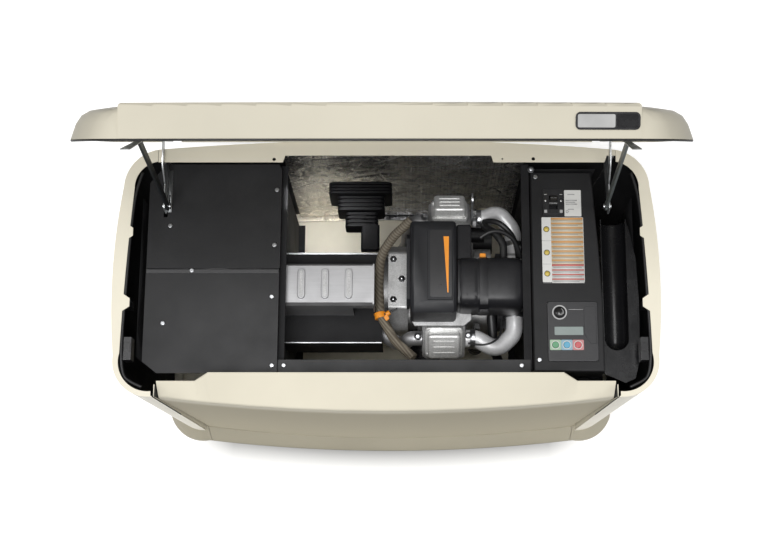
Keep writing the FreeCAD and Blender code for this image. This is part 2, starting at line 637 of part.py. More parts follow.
cc = rbox(CX0, CRANK_Y - 92, 190, CX1, CRANK_Y + 92, 392, 26, 0)
cc = cc.fuse(rbox(CX0 + 20, CRANK_Y - 120, 172, CX1 - 20, CRANK_Y + 120, 215, 12, 0))
cc = cc.fuse(cyl(CX0 - 14, CRANK_Y, CRANK_Z, 62, 20, (1, 0, 0))).fuse(cyl(CX1 - 4, CRANK_Y, CRANK_Z, 52, 12, (1, 0, 0)))
for k, xc in ((KF, XF), (KR, XR)):
    cc = cc.fuse(cyl_block(xc, k, 40, 112, 60, 58, 10))
for k, xc in ((KF, XF), (KR, XR)):
    cc = cc.cut(cyl_block(xc, k, 112.2, 330, 62, 62))
cc = cc.cut(cyl(CX0 - 30, CRANK_Y, CRANK_Z, 20.0 + RUN, 400, (1, 0, 0)))
cc = cc.cut(cyl(CX0 + 14, CRANK_Y, CRANK_Z, 66, CX1 - CX0 - 28, (1, 0, 0)))
for k, xc in ((KF, XF), (KR, XR)):
    o = V(xc, at(k, 30)[0], at(k, 30)[1])
    cc = cc.cut(Part.makeCylinder(40, 100, o, V(0, k[0], k[1])))
# adapter plate that carries the alternator, and the dipstick tube
ad = prism_yz([(-84, 240), (-84, 380), (-40, 436), (96, 436), (124, 380), (124, 260), (90, 200), (-50, 200)], 0, 46)
ad = fillet(ad, 10, lambda e, m: abs(e.Vertexes[0].X - e.Vertexes[-1].X) > 1)
ad = ad.cut(cyl(-5, CRANK_Y, CRANK_Z, 80, 31, (1, 0, 0)))
for t in (35, 90, 145, 215, 325):
    a = math.radians(t)
    ad = ad.fuse(cyl(-0.0, CRANK_Y + 92 * math.cos(a), CRANK_Z + 100 * math.sin(a), 11, 44, (1, 0, 0)))
cc = cc.fuse(ad)
cc = cc.cut(cyl(-8, CRANK_Y, CRANK_Z, 20.0 + RUN, 60, (1, 0, 0)))
cc = cc.fuse(cyl(DIP_X, DIP_Y, 204, 8.0, 181.6, (0, 0, 1)))
cc = cc.cut(cyl(DIP_X, DIP_Y, 196, 4.5, 200, (0, 0, 1)))
cc = biggest(cc.removeSplitter())
one("crankcase", cc)

barrels, heads, covers = [], [], []
for k, xc in ((KF, XF), (KR, XR)):
    o = V(xc, at(k, 112.3)[0], at(k, 112.3)[1])
    d = V(0, k[0], k[1])
    b = Part.makeCylinder(47, 82, o, d)
    for i in range(9):
        b = b.fuse(cyl_block(xc, k, 116 + 8.6 * i, 118.8 + 8.6 * i, 50, 55, 16))
    b = b.cut(Part.makeCylinder(39.5, 100, o - d * 5, d))
    barrels.append(biggest(b.removeSplitter()))
    h = cyl_block(xc, k, 194.6, 204, 50, 55, 14)
    h = h.fuse(cyl_block(xc, k, 203, 232, 42, 36, 8))
    for i in range(3):
        h = h.fuse(cyl_block(xc, k, 208 + 8 * i, 211 + 8 * i, 49, 52, 14))
    h = h.fuse(cyl_block(xc, k, 228, 233, 43, 39, 10))
    heads.append(biggest(h.removeSplitter()))
    c = cyl_block(xc, k, 233.3, 238, 43, 39, 10)
    body = cyl_block(xc, k, 237, 262, 37, 32, 9)
    top = [at(k, 262, -32), at(k, 262, 32)]
    body = fillet(body, 6, lambda e, m: abs((m.y - CRANK_Y) * k[0] + (m.z - CRANK_Z) * k[1] - 262) < 1e-2)
    c = c.fuse(body)
    # pressed pattern of plain bars on the lid of the cover
    for t in (-15, 0, 15):
        pp = at(k, 261.5, t)
        c = c.fuse(prism_yz([at(k, 260, t - 3), at(k, 260, t + 3), at(k, 263.6, t + 2.2), at(k, 263.6, t - 2.2)],
                            xc - 24, xc + 24))
    for dx in (-37, 37):
        for t in (-33, 33):
            p = at(k, 238, t)
            c = c.fuse(bolt(xc + dx, p[0], p[1], (0, k[0], k[1]), 3.4, 4))
    covers.append(biggest(c.removeSplitter()))
group("cylinders", barrels)
group("cylinder_heads", heads)
group("valve_covers", covers)

# lifting eye bolted behind the rear valve cover
le = box(195.6, 158, 452, 199.6, 186, 500).fuse(prism_yz([(158, 498), (186, 498), (212, 522), (190, 530)], 195.6, 199.6))
le = le.fuse(cyl(195.6, 200, 522, 15, 4, (1, 0, 0))).cut(cyl(190, 200, 522, 8, 12, (1, 0, 0)))
le = le.fuse(bolt(199.6, 172, 489, (1, 0, 0), 4, 5))
one("lift_eye", biggest(le))

# engine cover (blower shroud) over the middle of the engine
ec = prism_yz([(-88, 545), (-84, 586), (-66, 600), (112, 600), (128, 590), (134, 560), (134, 507), (-92, 507)], 52, 158)
ec = fillet(ec, 10, lambda e, m: (abs(m.x - 52) < 1e-3 or abs(m.x - 158) < 1e-3) and m.z > 530)
ec = ec.fuse(prism_yz([(-60, 507), (-60, 540), (-46, 556), (96, 556), (110, 540), (110, 507)], 44, 60))
ec = ec.fuse(box(70, -2, 432, 150, 58, 510))
ec_in = prism_yz([(-85, 430), (-82, 542), (-79, 582), (-63, 596), (110, 596), (124, 587), (130, 558), (130, 430)], 56, 154)
ec_in = ec_in.common(box(0, -200, 510.5, 300, 300, 700)).fuse(box(73, 1, 420, 147, 55, 520))
ec = ec.cut(ec_in)
ec = ec.fuse(box(92, -58, 599, 148, 106, 603))
ec = fillet(ec, 1.5, lambda e, m: abs(m.z - 603) < 1e-3)
one("engine_cover", biggest(ec.removeSplitter()))

# air cleaner: lower tray and domed lid in one housing, ribs over the top
ac = prism_yz([(-70, 500), (-70, 560), (-62, 582), (-44, 592), (22, 592), (38, 584), (46, 564), (46, 500)], 160, 308)
ac = fillet(ac, 12, lambda e, m: abs(m.x - 308) < 1e-3 and m.z > 520)
for x in (180, 200, 240, 260, 280):
    r = prism_yz([(-71.5, 520), (-71.5, 561), (-63, 584), (-44.5, 594), (22.5, 594), (39, 586), (47.5, 565), (47.5, 520)], x - 3, x + 3)
    ac = ac.fuse(r)
ac = ac.cut(prism_yz([(-66, 504), (-66, 559), (-58, 579), (-42, 588), (20, 588), (35, 580), (42, 562), (42, 504)], 164, 302))
ac = ac.cut(box(190, -40, 480, 280, 20, 510))
one("air_cleaner", biggest(ac.removeSplitter()))
one("air_filter", rbox(170, -58, 506, 296, 34, 552, 8, 2))
st = prism_yz([(-74.5, 508), (-74.5, 562), (-65.5, 586.5), (-45.5, 597), (23.5, 597), (41.5, 588.5), (50.5, 566), (50.5, 508)], 210, 228)
st = st.cut(prism_yz([(-72, 500), (-72, 561.2), (-63.5, 584.6), (-44.8, 594.6), (22.8, 594.6), (39.6, 586.6), (48, 565.4), (48, 500)], 200, 240))
st = st.fuse(rbox(207, -79, 540, 231, -73.5, 572, 4, 1))
one("air_cleaner_strap", biggest(st.removeSplitter()))

# intake pipes from both heads to the mixer
pf, lf = path_pipe([(180.6, -118, 458), (206, -118, 458), (254, -146, 450), (297, -104, 440), (297, -30.2, 440)], 20, 42)
pr_, lr = path_pipe([(200.2, 171, 459), (226, 171, 459), (262, 188, 452), (297, 148, 440), (297, 84.2, 440)], 20, 42)
print("intake pipes", round(lf), round(pf.Volume / (math.pi * 400)), round(lr), round(pr_.Volume / (math.pi * 400)))
group("intake_pipes", [pf, pr_])
mx = rbox(274, -29.6, 412, 318, 83.6, 476, 8, 0).fuse(cyl(296, 27, 470, 20, 28, (0, 0, 1)))
one("mixer_body", biggest(mx.removeSplitter()))
# fuel regulator on the right bulkhead, and hose to the mixer
RX, RY, RZ = 272.0, -172.0, 240.0
fr = cyl(RX, RY - 8, RZ, 46, 18, (0, 1, 0)).fuse(rbox(RX - 26, RY - 10, 79, RX + 26, RY + 22, RZ - 20, 6, 1)).fuse(
    cyl(RX, RY - 14, RZ, 34, 10, (0, 1, 0)))
fr = fr.fuse(cyl(RX, RY, RZ + 40, 11, 24, (0, 0, 1)))
for t in range(8):
    a = math.radians(22.5 + 45 * t)
    fr = fr.fuse(cyl(RX + 40 * math.cos(a), RY - 10.5, RZ + 40 * math.sin(a), 3, 3, (0, 1, 0)))
one("fuel_regulator", biggest(fr.removeSplitter()))
fh, lh = path_pipe([(RX, RY, RZ + 64.3), (RX, RY, 350), (250, -134, 396), (244, -60, 418), (246, 8, 434), (265.5, 22, 442)], 11, 44)
bh_, lb_ = path_pipe([(226, 148, 486), (232, 132, 512), (250, 118, 526), (268, 92, 530), (268, 48.4, 530)], 9, 40)
print("hoses", round(lh), round(fh.Volume / (math.pi * 121)), round(lb_), round(bh_.Volume / (math.pi * 81)))
group("hoses", [fh, bh_])

of_ = cyl(86, CRANK_Y - 92.4, 264, 38, 86, (0, -1, 0))
of_ = fillet(of_, 10, lambda e, m: m.y < CRANK_Y - 170)
of_ = of_.fuse(cyl(86, CRANK_Y - 92.4, 264, 40, 6, (0, -1, 0)))
one("oil_filter", biggest(of_))
# dipstick tube fixed on the crankcase side is part of the stick's guide; the stick pulls out upwards
ds = cyl(DIP_X, DIP_Y, 200, 4.0, 188, (0, 0, 1)).fuse(cyl(DIP_X, DIP_Y, 386.2, 8.5, 12, (0, 0, 1)))
ds = ds.fuse(rbox(DIP_X - 6, DIP_Y - 8, 396, DIP_X + 6, DIP_Y + 8, 418, 3, 0).cut(
    cyl(DIP_X - 12, DIP_Y, 408, 4.5, 30, (1, 0, 0))))
one("dipstick", biggest(ds.removeSplitter()))

# crankshaft with webs and pin, pointing along X
cs = cyl(-208, CRANK_Y, CRANK_Z, 20.0, 496, (1, 0, 0))
for x in (96, 168):
    cs = cs.fuse(cyl(x, CRANK_Y, CRANK_Z, 52, 12, (1, 0, 0)))
cs = cs.cut(box(108, CRANK_Y - 60, CRANK_Z - 60, 168, CRANK_Y + 60, CRANK_Z + 60))
cs = cs.fuse(cyl(100, CRANK_Y, CRANK_Z + 30, 18, 76, (1, 0, 0)))
one("crankshaft", biggest(cs.removeSplitter()))
fw = cyl(262, CRANK_Y, CRANK_Z, 96, 14, (1, 0, 0)).cut(cyl(250, CRANK_Y, CRANK_Z, 20.0, 60, (1, 0, 0)))
for t in range(12):
    b = box(275, CRANK_Y + 52, CRANK_Z - 2, 292, CRANK_Y + 92, CRANK_Z + 2)
    b.rotate(V(275, CRANK_Y, CRANK_Z), V(1, 0, 0), 30 * t)
    fw = fw.fuse(b)
one("flywheel_fan", biggest(fw.removeSplitter()))
rc = cyl(-150, CRANK_Y, CRANK_Z, 54, 132, (1, 0, 0)).cut(cyl(-170, CRANK_Y, CRANK_Z, 20.0, 200, (1, 0, 0)))
for t in (0, 90, 180, 270):
    b = box(-160, CRANK_Y - 6, CRANK_Z + 38, 0, CRANK_Y + 6, CRANK_Z + 66)
    b.rotate(V(0, CRANK_Y, CRANK_Z), V(1, 0, 0), t + 45)
    rc = rc.cut(b)
one("rotor_core", biggest(rc))
sc = tube(-150, CRANK_Y, CRANK_Z, 80, 56.5, 132, (1, 0, 0))
for t in range(12):
    b = box(-160, CRANK_Y - 3, CRANK_Z + 46, 0, CRANK_Y + 3, CRANK_Z + 68)
    b.rotate(V(0, CRANK_Y, CRANK_Z), V(1, 0, 0), 30 * t + 15)
    sc = sc.cut(b)
one("stator_core", biggest(sc))
ah = tube(-196, CRANK_Y, CRANK_Z, 92, 80.3, 195.6, (1, 0, 0))
ah = ah.fuse(tube(-204, CRANK_Y, CRANK_Z, 92, 20.05, 9, (1, 0, 0)))
for t in range(10):
    s = cyl(-210, CRANK_Y + 56, CRANK_Z, 11, 20, (1, 0, 0))
    s.rotate(V(0, CRANK_Y, CRANK_Z), V(1, 0, 0), 36 * t)
    ah = ah.cut(s)
for t in (30, 150, 210, 330):
    s = cyl(-204, CRANK_Y + 90, CRANK_Z, 6, 203.6, (1, 0, 0))
    s.rotate(V(0, CRANK_Y, CRANK_Z), V(1, 0, 0), t)
    ah = ah.fuse(s)
ah = ah.cut(cyl(-190, CRANK_Y, CRANK_Z, 80.3, 240, (1, 0, 0)))
foot = box(-196, CRANK_Y - 58, 160, -160, CRANK_Y + 58, 236).fuse(box(-196, CRANK_Y - 96, 160, -160, CRANK_Y + 96, 168))
ah = ah.fuse(foot.cut(cyl(-210, CRANK_Y, CRANK_Z, 86, 80, (1, 0, 0))))
ah = ah.cut(cyl(-195, CRANK_Y, CRANK_Z, 80.3, 240, (1, 0, 0)))
ah = biggest(ah.removeSplitter())
one("alternator_housing", ah)
sm = cyl(160, CRANK_Y + 144, 254, 34, 96, (1, 0, 0)).fuse(cyl(170, CRANK_Y + 144, 302, 16, 64, (1, 0, 0)))
sm = sm.fuse(cyl(150, CRANK_Y + 144, 254, 22, 12, (1, 0, 0)))
one("starter_motor", biggest(sm.removeSplitter()))

# rubber mounts between the engine and the tray
mounts = []
for x in (70, 220):
    for y in (CRANK_Y - 96, CRANK_Y + 96):
        m = cyl(x, y, 78.4, 20, 93.2, (0, 0, 1))
        m = m.cut(tube(x, y, 110, 30, 15, 8)).cut(tube(x, y, 134, 30, 15, 8))
        mounts.append(biggest(m))
for y in (CRANK_Y - 76, CRANK_Y + 76):
    mounts.append(cyl(-178, y, 78.4, 17, 81.3, (0, 0, 1)))
group("rubber_mounts", mounts)

# muffler in the exhaust bay, and the two pipes that reach it
mf = cyl(-516, 30, 392, 88, 240, (1, 0, 0))
mf = fillet(mf, 16, lambda e, m: True)
mf = mf.fuse(cyl(-560, 30, 392, 26, 60, (1, 0, 0))).cut(cyl(-580, 30, 392, 22, 70, (1, 0, 0)))
for x in (-480, -420, -310):
    mf = mf.fuse(tube(x, 30, 392, 90, 86, 5, (1, 0, 0)))
mf = mf.fuse(box(-480, 20, 78.3, -472, 40, 320)).fuse(box(-350, 20, 78.3, -342, 40, 320))
one("muffler", biggest(mf.removeSplitter()))
e1, l1 = path_pipe([(79.6, -118, 459), (54, -118, 459), (28, -126, 404), (-26, EX_FY, EX_FZ), (-236, EX_FY, EX_FZ), (-300, -134, 392), (-360, -134, 392),
                    (-360, -61.0, 392)], 17, 40)
e2, l2 = path_pipe([(94.6, 166, 450), (70, 166, 450), (50, 172, 400), (44, 164, 240), (-6, EX_RY, EX_RZ), (-300, EX_RY, EX_RZ),
                    (-400, 30, EX_RZ), (-400, 30, 301.5)], 17, 34)
print("exhaust pipes", round(l1), round(e1.Volume / (math.pi * 289)), round(l2), round(e2.Volume / (math.pi * 289)))
group("exhaust_pipes", [e1, e2])

# heat shield above the exhaust pipes, embossed with plain waves
hs = prism_yz([(-60, SHR_Z), (-60, 548), (-54, 556), (32, 556), (38, 548), (38, SHR_Z), (36, SHR_Z), (36, 547), (31, 554),
               (-53, 554), (-58, 547), (-58, SHR_Z)], -244.4, -30)
for x in (-196, -142, -88):
    w_ = rbox(x - 6, -46, 553, x + 6, 24, 559, 5, 2)
    hs = hs.fuse(w_)
hs = hs.fuse(box(-33, -58, 470, -30, 36, 556).cut(box(-40, -50, 460, -20, 28, 520)))
hs = hs.cut(prism_yz([(-100, 400), (-100, 520), (-57.9, 520), (-57.9, 400)], -80, -20))
hs = hs.cut(box(-70, -70, 430, -20, 50, 470))
one("heat_shield", biggest(hs.removeSplitter()))

# black sheet shroud over the alternator, open below at the front
so = [(-125, 314), (-125, SHR_Z), (92, SHR_Z), (142, 250), (142, 190), (140, 190), (140, 249.6), (90.6, SHR_Z - 2),
      (-123, SHR_Z - 2), (-123, 314)]
sh = prism_yz(so, -244.4, -14)
one("alternator_shroud", biggest(sh.removeSplitter()))

# bellows duct at the rear wall
bl = None
secs = [(-142, 8, 232, 262, 360, 470), (-122, -10, 196, 234, 370, 452), (-104, -26, 160, 198, 376, 436)]
for i, (x0, x1, y0, y1, z0, z1) in enumerate(secs):
    n = 4
    for k in range(n):
        a = y0 + (y1 - y0) * k / n
        w_ = (y1 - y0) / n
        r1 = rbox(x0, a, z0, x1, a + w_ * 0.62, z1, 10, 1)
        r2 = rbox(x0 + 6, a + w_ * 0.55, z0 + 6, x1 - 6, a + w_ + 0.5, z1 - 6, 8, 1)
        bl = r1 if bl is None else bl.fuse(r1)
        bl = bl.fuse(r2)
bl = bl.fuse(rbox(-66, 103, 406, -22, 164, 436, 6, 1))
bl = bl.cut(rbox(-58, 90, 411, -30, 300, 431, 4, 1))
one("intake_bellows", biggest(bl.removeSplitter()))

# crossbar along the front of the engine bay
cb = box(-241.5, -222, 596, 320, -194, 599).fuse(box(-241.5, -222, 560, 320, -219, 599))
for x in (-228, 300):
    cb = cb.cut(cyl(x, -207, 590, 3.2, 20))
one("front_crossbar", biggest(cb.removeSplitter()))

# wiring loom and its clip
lm, ll = path_pipe([(54, 158, 494), (14, 124, 478), (-18, 82, 462), (-22, 10, 456), (-18, -62, 458), (16, -126, 468),
                    (60, -168, 480)], 11, 80)
print("loom length", round(ll), "section check", round(lm.Volume / (math.pi * 121)))
one("wiring_loom", lm)

# ---------------------------------------------------------------- control bay
PANEL_SCREWS = ((338, -198), (337, 224))
cp = prism_xy([(326, -224), (482, -224), (482, -60), (476, 60), (464, 236), (326, 236)], PANEL_Z - 70, PANEL_Z)
cp = fillet(cp, 4, lambda e, m: abs(m.z - PANEL_Z) < 1e-3)
cp = cp.cut(prism_xy([(329, -221), (479, -221), (479, -60), (473, 60), (461, 233), (329, 233)], PANEL_Z - 80, PANEL_Z - 3))
# pocket for the controller and the breaker
cp = cp.cut(rbox(357, -202, PANEL_Z - 10, 469.4, -66, PANEL_Z + 5, 6)).cut(rbox(352, 130, PANEL_Z - 10, 400, 194, PANEL_Z + 5, 2))
for x, y in PANEL_SCREWS:
    cp = cp.cut(cyl(x, y, PANEL_Z - 8, 2.6, 20))
one("control_panel", biggest(cp.removeSplitter()))
ct = rbox(357.3, -201.7, PANEL_Z - 34, 469.1, -66.3, PANEL_Z + 2, 6)
ct = fillet(ct, 1.4, lambda e, m: abs(m.z - PANEL_Z - 2) < 1e-3)
ct = ct.cut(rbox(372, -143, PANEL_Z - 1, 437, -123, PANEL_Z + 4, 2))
btns = {"button_green": (374, -165), "button_blue": (399, -165), "button_red": (424, -165)}
for x, y in btns.values():
    ct = ct.cut(cyl(x, y, PANEL_Z - 14, 7.8, 30))
one("controller", biggest(ct.removeSplitter()))
for n, (x, y) in btns.items():
    b = cyl(x, y, PANEL_Z - 9, 7.4, 14)
    b = fillet(b, 1.5, lambda e, m: abs(m.z - PANEL_Z - 5) < 1e-3)
    one(n, b)
bb = rbox(352.3, 130.3, PANEL_Z - 56, 399.7, 193.7, PANEL_Z + 3, 2)
bb = bb.fuse(box(356, 136, PANEL_Z + 2, 396, 188, PANEL_Z + 6))
BRK_Y, BRK_Z = 162.0, PANEL_Z + 1.0
bb = bb.cut(box(366.4, 146, PANEL_Z - 20, 385.6, 178, PANEL_Z + 10))
bb = bb.cut(cyl(361, BRK_Y, BRK_Z, 2.0, 30, (1, 0, 0)))
one("breaker_body", biggest(bb.removeSplitter()))
bh = cyl(367, BRK_Y, BRK_Z, 7, 18, (1, 0, 0)).fuse(cyl(361.5, BRK_Y, BRK_Z, 1.95, 29, (1, 0, 0)))
tg = rbox(369, BRK_Y - 3, BRK_Z + 3, 383, BRK_Y + 3, BRK_Z + 20, 1.5, 0)
tg.rotate(V(0, BRK_Y, BRK_Z), V(1, 0, 0), -28)
bh = bh.fuse(tg)
one("breaker_handle", biggest(bh.removeSplitter()))

# moulded shelf beside the panel, with a half-round trough that has a rounded front end
TRX, TRZ, TRR, TRY = 513.5, 574.0, 27.0, -146.0
shelf = [(484, -226), (508, -236), (530, -246), (552, -236), (564, -190), (566, -60), (562, 40), (548, 110), (540, 130),
         (484, 130)]
tr = prism_xy(shelf, 595.5, 598)
tr = tr.fuse(cyl(TRX, TRY, TRZ, TRR + 2.5, 130 - TRY, (0, 1, 0)))
tr = tr.fuse(box(TRX - TRR - 2.5, TRY, TRZ, TRX + TRR + 2.5, 130, 598))
tr = tr.fuse(cyl(TRX, TRY, TRZ, TRR + 2.5, 598 - TRZ)).fuse(Part.makeSphere(TRR + 2.5, V(TRX, TRY, TRZ)))
tr = tr.cut(cyl(TRX, TRY, TRZ, TRR, 200 - TRY, (0, 1, 0))).cut(box(TRX - TRR, TRY, TRZ, TRX + TRR, 200, 620))
tr = tr.cut(cyl(TRX, TRY, TRZ, TRR, 60)).cut(Part.makeSphere(TRR, V(TRX, TRY, TRZ)))
tr = biggest(tr.removeSplitter())
tr = fillet(tr, 3, lambda e, m: abs(m.z - 598) < 1e-3 and abs(m.x - TRX) < TRR + 0.1 and m.y < 129 and
            (abs(abs(m.x - TRX) - TRR) < 0.1 or m.y < TRY - TRR * 0.9))
one("cable_trough", biggest(tr))

# battery in the control bay, with posts
bt = rbox(344, -226, 78.3, 519, -52, 278, 6).fuse(rbox(341, -229, 262, 522, -49, 284, 6))
for y in (-190, -90):
    bt = bt.fuse(cyl(368, y, 280, 9, 20))
bt = bt.fuse(rbox(400, -200, 282, 500, -78, 290, 5))
one("battery", biggest(bt.removeSplitter()))

# screws that hold covers and panels
scr = [pan(x, y, COVER_Z - 2, 5.2, 3, 6) for x, y in cover_screw_xy_r] + \
      [pan(x, y, COVER_Z, 5.2, 3, 6) for x, y in cover_screw_xy_f + [(-438, 7)]] + \
      [pan(x, -207, 599, 5.2, 3, 6) for x in (-228, 300)] + \
      [pan(x, y, PANEL_Z, 5.2, 3.0, 6) for x, y in PANEL_SCREWS]
group("screws", scr)

# ---------------------------------------------------------------- write
for name, s in parts.items():
    if not s.isValid():
        print("INVALID", name)
    for k, so in enumerate(s.Solids):
        if so.Volume < 1:
            print("TINY", name, k, so.Volume)
    s.exportStep("parts/%s.step" % name)
print(len(parts), "nodes")
bb = Part.makeCompound(list(parts.values())).BoundBox
print("box", [round(a, 1) for a in (bb.XMin, bb.YMin, bb.ZMin, bb.XMax, bb.YMax, bb.ZMax)])
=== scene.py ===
import bpy, bmesh, math, json, random
from mathutils import Vector, Matrix, noise
import numpy as np


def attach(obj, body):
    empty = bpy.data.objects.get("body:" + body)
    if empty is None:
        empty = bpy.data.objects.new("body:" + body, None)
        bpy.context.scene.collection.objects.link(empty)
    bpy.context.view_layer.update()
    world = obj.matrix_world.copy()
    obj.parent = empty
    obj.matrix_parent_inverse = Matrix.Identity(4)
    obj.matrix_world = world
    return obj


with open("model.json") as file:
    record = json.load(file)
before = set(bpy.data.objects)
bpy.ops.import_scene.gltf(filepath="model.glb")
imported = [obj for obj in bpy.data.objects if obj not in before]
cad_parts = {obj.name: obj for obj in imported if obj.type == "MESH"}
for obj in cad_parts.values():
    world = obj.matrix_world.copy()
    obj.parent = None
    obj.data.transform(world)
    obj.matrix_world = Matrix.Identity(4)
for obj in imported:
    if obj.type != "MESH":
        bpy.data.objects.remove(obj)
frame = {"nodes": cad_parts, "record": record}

random.seed(7)
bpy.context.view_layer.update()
N = frame["nodes"]

# ------------------------------------------------------------------ camera
cam_d = bpy.data.cameras.new("camera")
cam = bpy.data.objects.new("camera", cam_d)
bpy.context.collection.objects.link(cam)
bpy.context.scene.camera = cam
cam.location = (0.065, -0.734, 3.602)
cam.rotation_euler = (math.radians(13.519), 0.0, 0.0)
cam_d.sensor_width = 36.0
cam_d.lens = 64.31
cam_d.shift_x = -0.0413
cam_d.shift_y = 0.0006
cam_d.clip_end = 60


# ------------------------------------------------------------------ material helpers
class NT:
    def __init__(self, name):
        self.m = bpy.data.materials.new(name)
        self.m.use_nodes = True
        self.t = self.m.node_tree
        self.t.nodes.clear()
        self.out = self.t.nodes.new("ShaderNodeOutputMaterial")
        self.b = self.t.nodes.new("ShaderNodeBsdfPrincipled")
        self.t.links.new(self.b.outputs[0], self.out.inputs[0])
        self.co = self.t.nodes.new("ShaderNodeTexCoord")

    def new(self, kind, **kw):
        n = self.t.nodes.new(kind)
        for k, v in kw.items():
            setattr(n, k, v)
        return n

    def link(self, a, b):
        self.t.links.new(a, b)

    def mapping(self, scale=(1, 1, 1), rot=(0, 0, 0), loc=(0, 0, 0)):
        n = self.new("ShaderNodeMapping")
        n.inputs["Scale"].default_value = scale
        n.inputs["Rotation"].default_value = rot
        n.inputs["Location"].default_value = loc
        self.link(self.co.outputs["Object"], n.inputs[0])
        return n.outputs[0]

    def noise(self, scale, detail=4, rough=0.55, vec=None, dist=0.0):
        n = self.new("ShaderNodeTexNoise")
        n.inputs["Scale"].default_value = scale
        n.inputs["Detail"].default_value = detail
        n.inputs["Roughness"].default_value = rough
        n.inputs["Distortion"].default_value = dist
        self.link(vec if vec is not None else self.co.outputs["Object"], n.inputs["Vector"])
        return n.outputs["Fac"]

    def ramp(self, fac, stops, interp="LINEAR"):
        n = self.new("ShaderNodeValToRGB")
        n.color_ramp.interpolation = interp
        e = n.color_ramp.elements
        while len(e) < len(stops):
            e.new(0.5)
        for i, (p, c) in enumerate(stops):
            e[i].position = p
            e[i].color = (c, c, c, 1) if isinstance(c, (int, float)) else (tuple(c) + (1,) if len(c) == 3 else c)
        self.link(fac, n.inputs[0])
        return n.outputs[0]

    def maprange(self, fac, a, b, c, d):
        n = self.new("ShaderNodeMapRange")
        for i, v in enumerate((a, b, c, d)):
            n.inputs[i + 1].default_value = v
        self.link(fac, n.inputs[0])
        return n.outputs[0]

    def mix(self, fac, a, b, mode="MIX"):
        n = self.new("ShaderNodeMix", data_type="RGBA", blend_type=mode)
        for s, v in ((n.inputs[0], fac), (n.inputs[6], a), (n.inputs[7], b)):
            if isinstance(v, bpy.types.NodeSocket):
                self.link(v, s)
            else:
                s.default_value = v if isinstance(v, (int, float)) else (tuple(v) + (1,) if len(v) == 3 else v)
        return n.outputs[2]

    def math(self, op, a, b=0.0, c=0.0):
        n = self.new("ShaderNodeMath", operation=op)
        for i, v in enumerate((a, b, c)):
            if isinstance(v, bpy.types.NodeSocket):
                self.link(v, n.inputs[i])
            else:
                n.inputs[i].default_value = v
        return n.outputs[0]

    def bump(self, h, strength=0.2, dist=0.001, prev=None):
        n = self.new("ShaderNodeBump")
        n.inputs["Strength"].default_value = strength
        n.inputs["Distance"].default_value = dist
        self.link(h, n.inputs["Height"])
        if prev is not None:
            self.link(prev, n.inputs["Normal"])
        return n.outputs[0]

    def voronoi(self, scale, feature="F1", vec=None, rnd=1.0, out="Distance"):
        n = self.new("ShaderNodeTexVoronoi", feature=feature)
        n.inputs["Scale"].default_value = scale
        n.inputs["Randomness"].default_value = rnd
        self.link(vec if vec is not None else self.co.outputs["Object"], n.inputs["Vector"])
        return n.outputs[out]

    def wave(self, scale, axis="X", vec=None, dist=0.0, prof="SIN"):
        n = self.new("ShaderNodeTexWave", wave_type="BANDS", bands_direction=axis, wave_profile=prof)
        n.inputs["Scale"].default_value = scale
        n.inputs["Distortion"].default_value = dist
        self.link(vec if vec is not None else self.co.outputs["Object"], n.inputs["Vector"])
        return n.outputs["Fac"]

    def set(self, **kw):
        names = dict(color="Base Color", metal="Metallic", rough="Roughness", normal="Normal", spec="Specular IOR Level",
                     coat="Coat Weight", coat_rough="Coat Roughness", emit="Emission Color", emit_s="Emission Strength",
                     sheen="Sheen Weight", aniso="Anisotropic", trans="Transmission Weight", ior="IOR")
        for k, v in kw.items():
            s = self.b.inputs[names[k]]
            if isinstance(v, bpy.types.NodeSocket):
                self.link(v, s)
            else:
                s.default_value = v if isinstance(v, (int, float)) else (tuple(v) + (1,) if len(v) == 3 else v)
        return self


def paint(name, col, rough=0.42, var=0.05, peel=0.08, coat=0.15, scale=1.0):
    m = NT(name)
    n1 = m.noise(3.0 * scale, 5)
    dark = tuple(c * (1 - var) for c in col)
    lite = tuple(min(1, c * (1 + var * 0.6)) for c in col)
    c = m.mix(m.maprange(n1, 0.3, 0.7, 0, 1), dark, lite)
    dust = m.noise(60 * scale, 6, 0.7)
    c = m.mix(m.maprange(dust, 0.55, 0.8, 0, 0.12), c, tuple(x * 0.8 for x in col))
    r = m.maprange(m.noise(18 * scale, 4), 0.3, 0.7, rough - 0.05, rough + 0.07)
    b = m.bump(m.noise(420, 2, 0.5), peel, 0.0006)
    b = m.bump(m.noise(9, 2, 0.5), 0.05, 0.004, b)
    m.set(color=c, rough=r, normal=b, coat=coat, coat_rough=0.35, spec=0.45)
    return m.m


def powder(name, col, rough=0.5, grain=900, bump=0.25, var=0.25, spec=0.28):
    m = NT(name)
    g = m.noise(grain, 3, 0.6)
    c = m.mix(m.maprange(g, 0.35, 0.7, 0, 1), tuple(x * (1 - var) for x in col), tuple(x * (1 + var) for x in col))
    c = m.mix(m.maprange(m.noise(5, 6, 0.65), 0.45, 0.75, 0, 0.35), c, tuple(x * 1.7 + 0.004 for x in col))
    r = m.maprange(m.noise(14, 5), 0.3, 0.7, rough - 0.07, rough + 0.08)
    b = m.bump(g, bump, 0.0005)
    m.set(color=c, rough=r, normal=b, spec=spec)
    return m.m


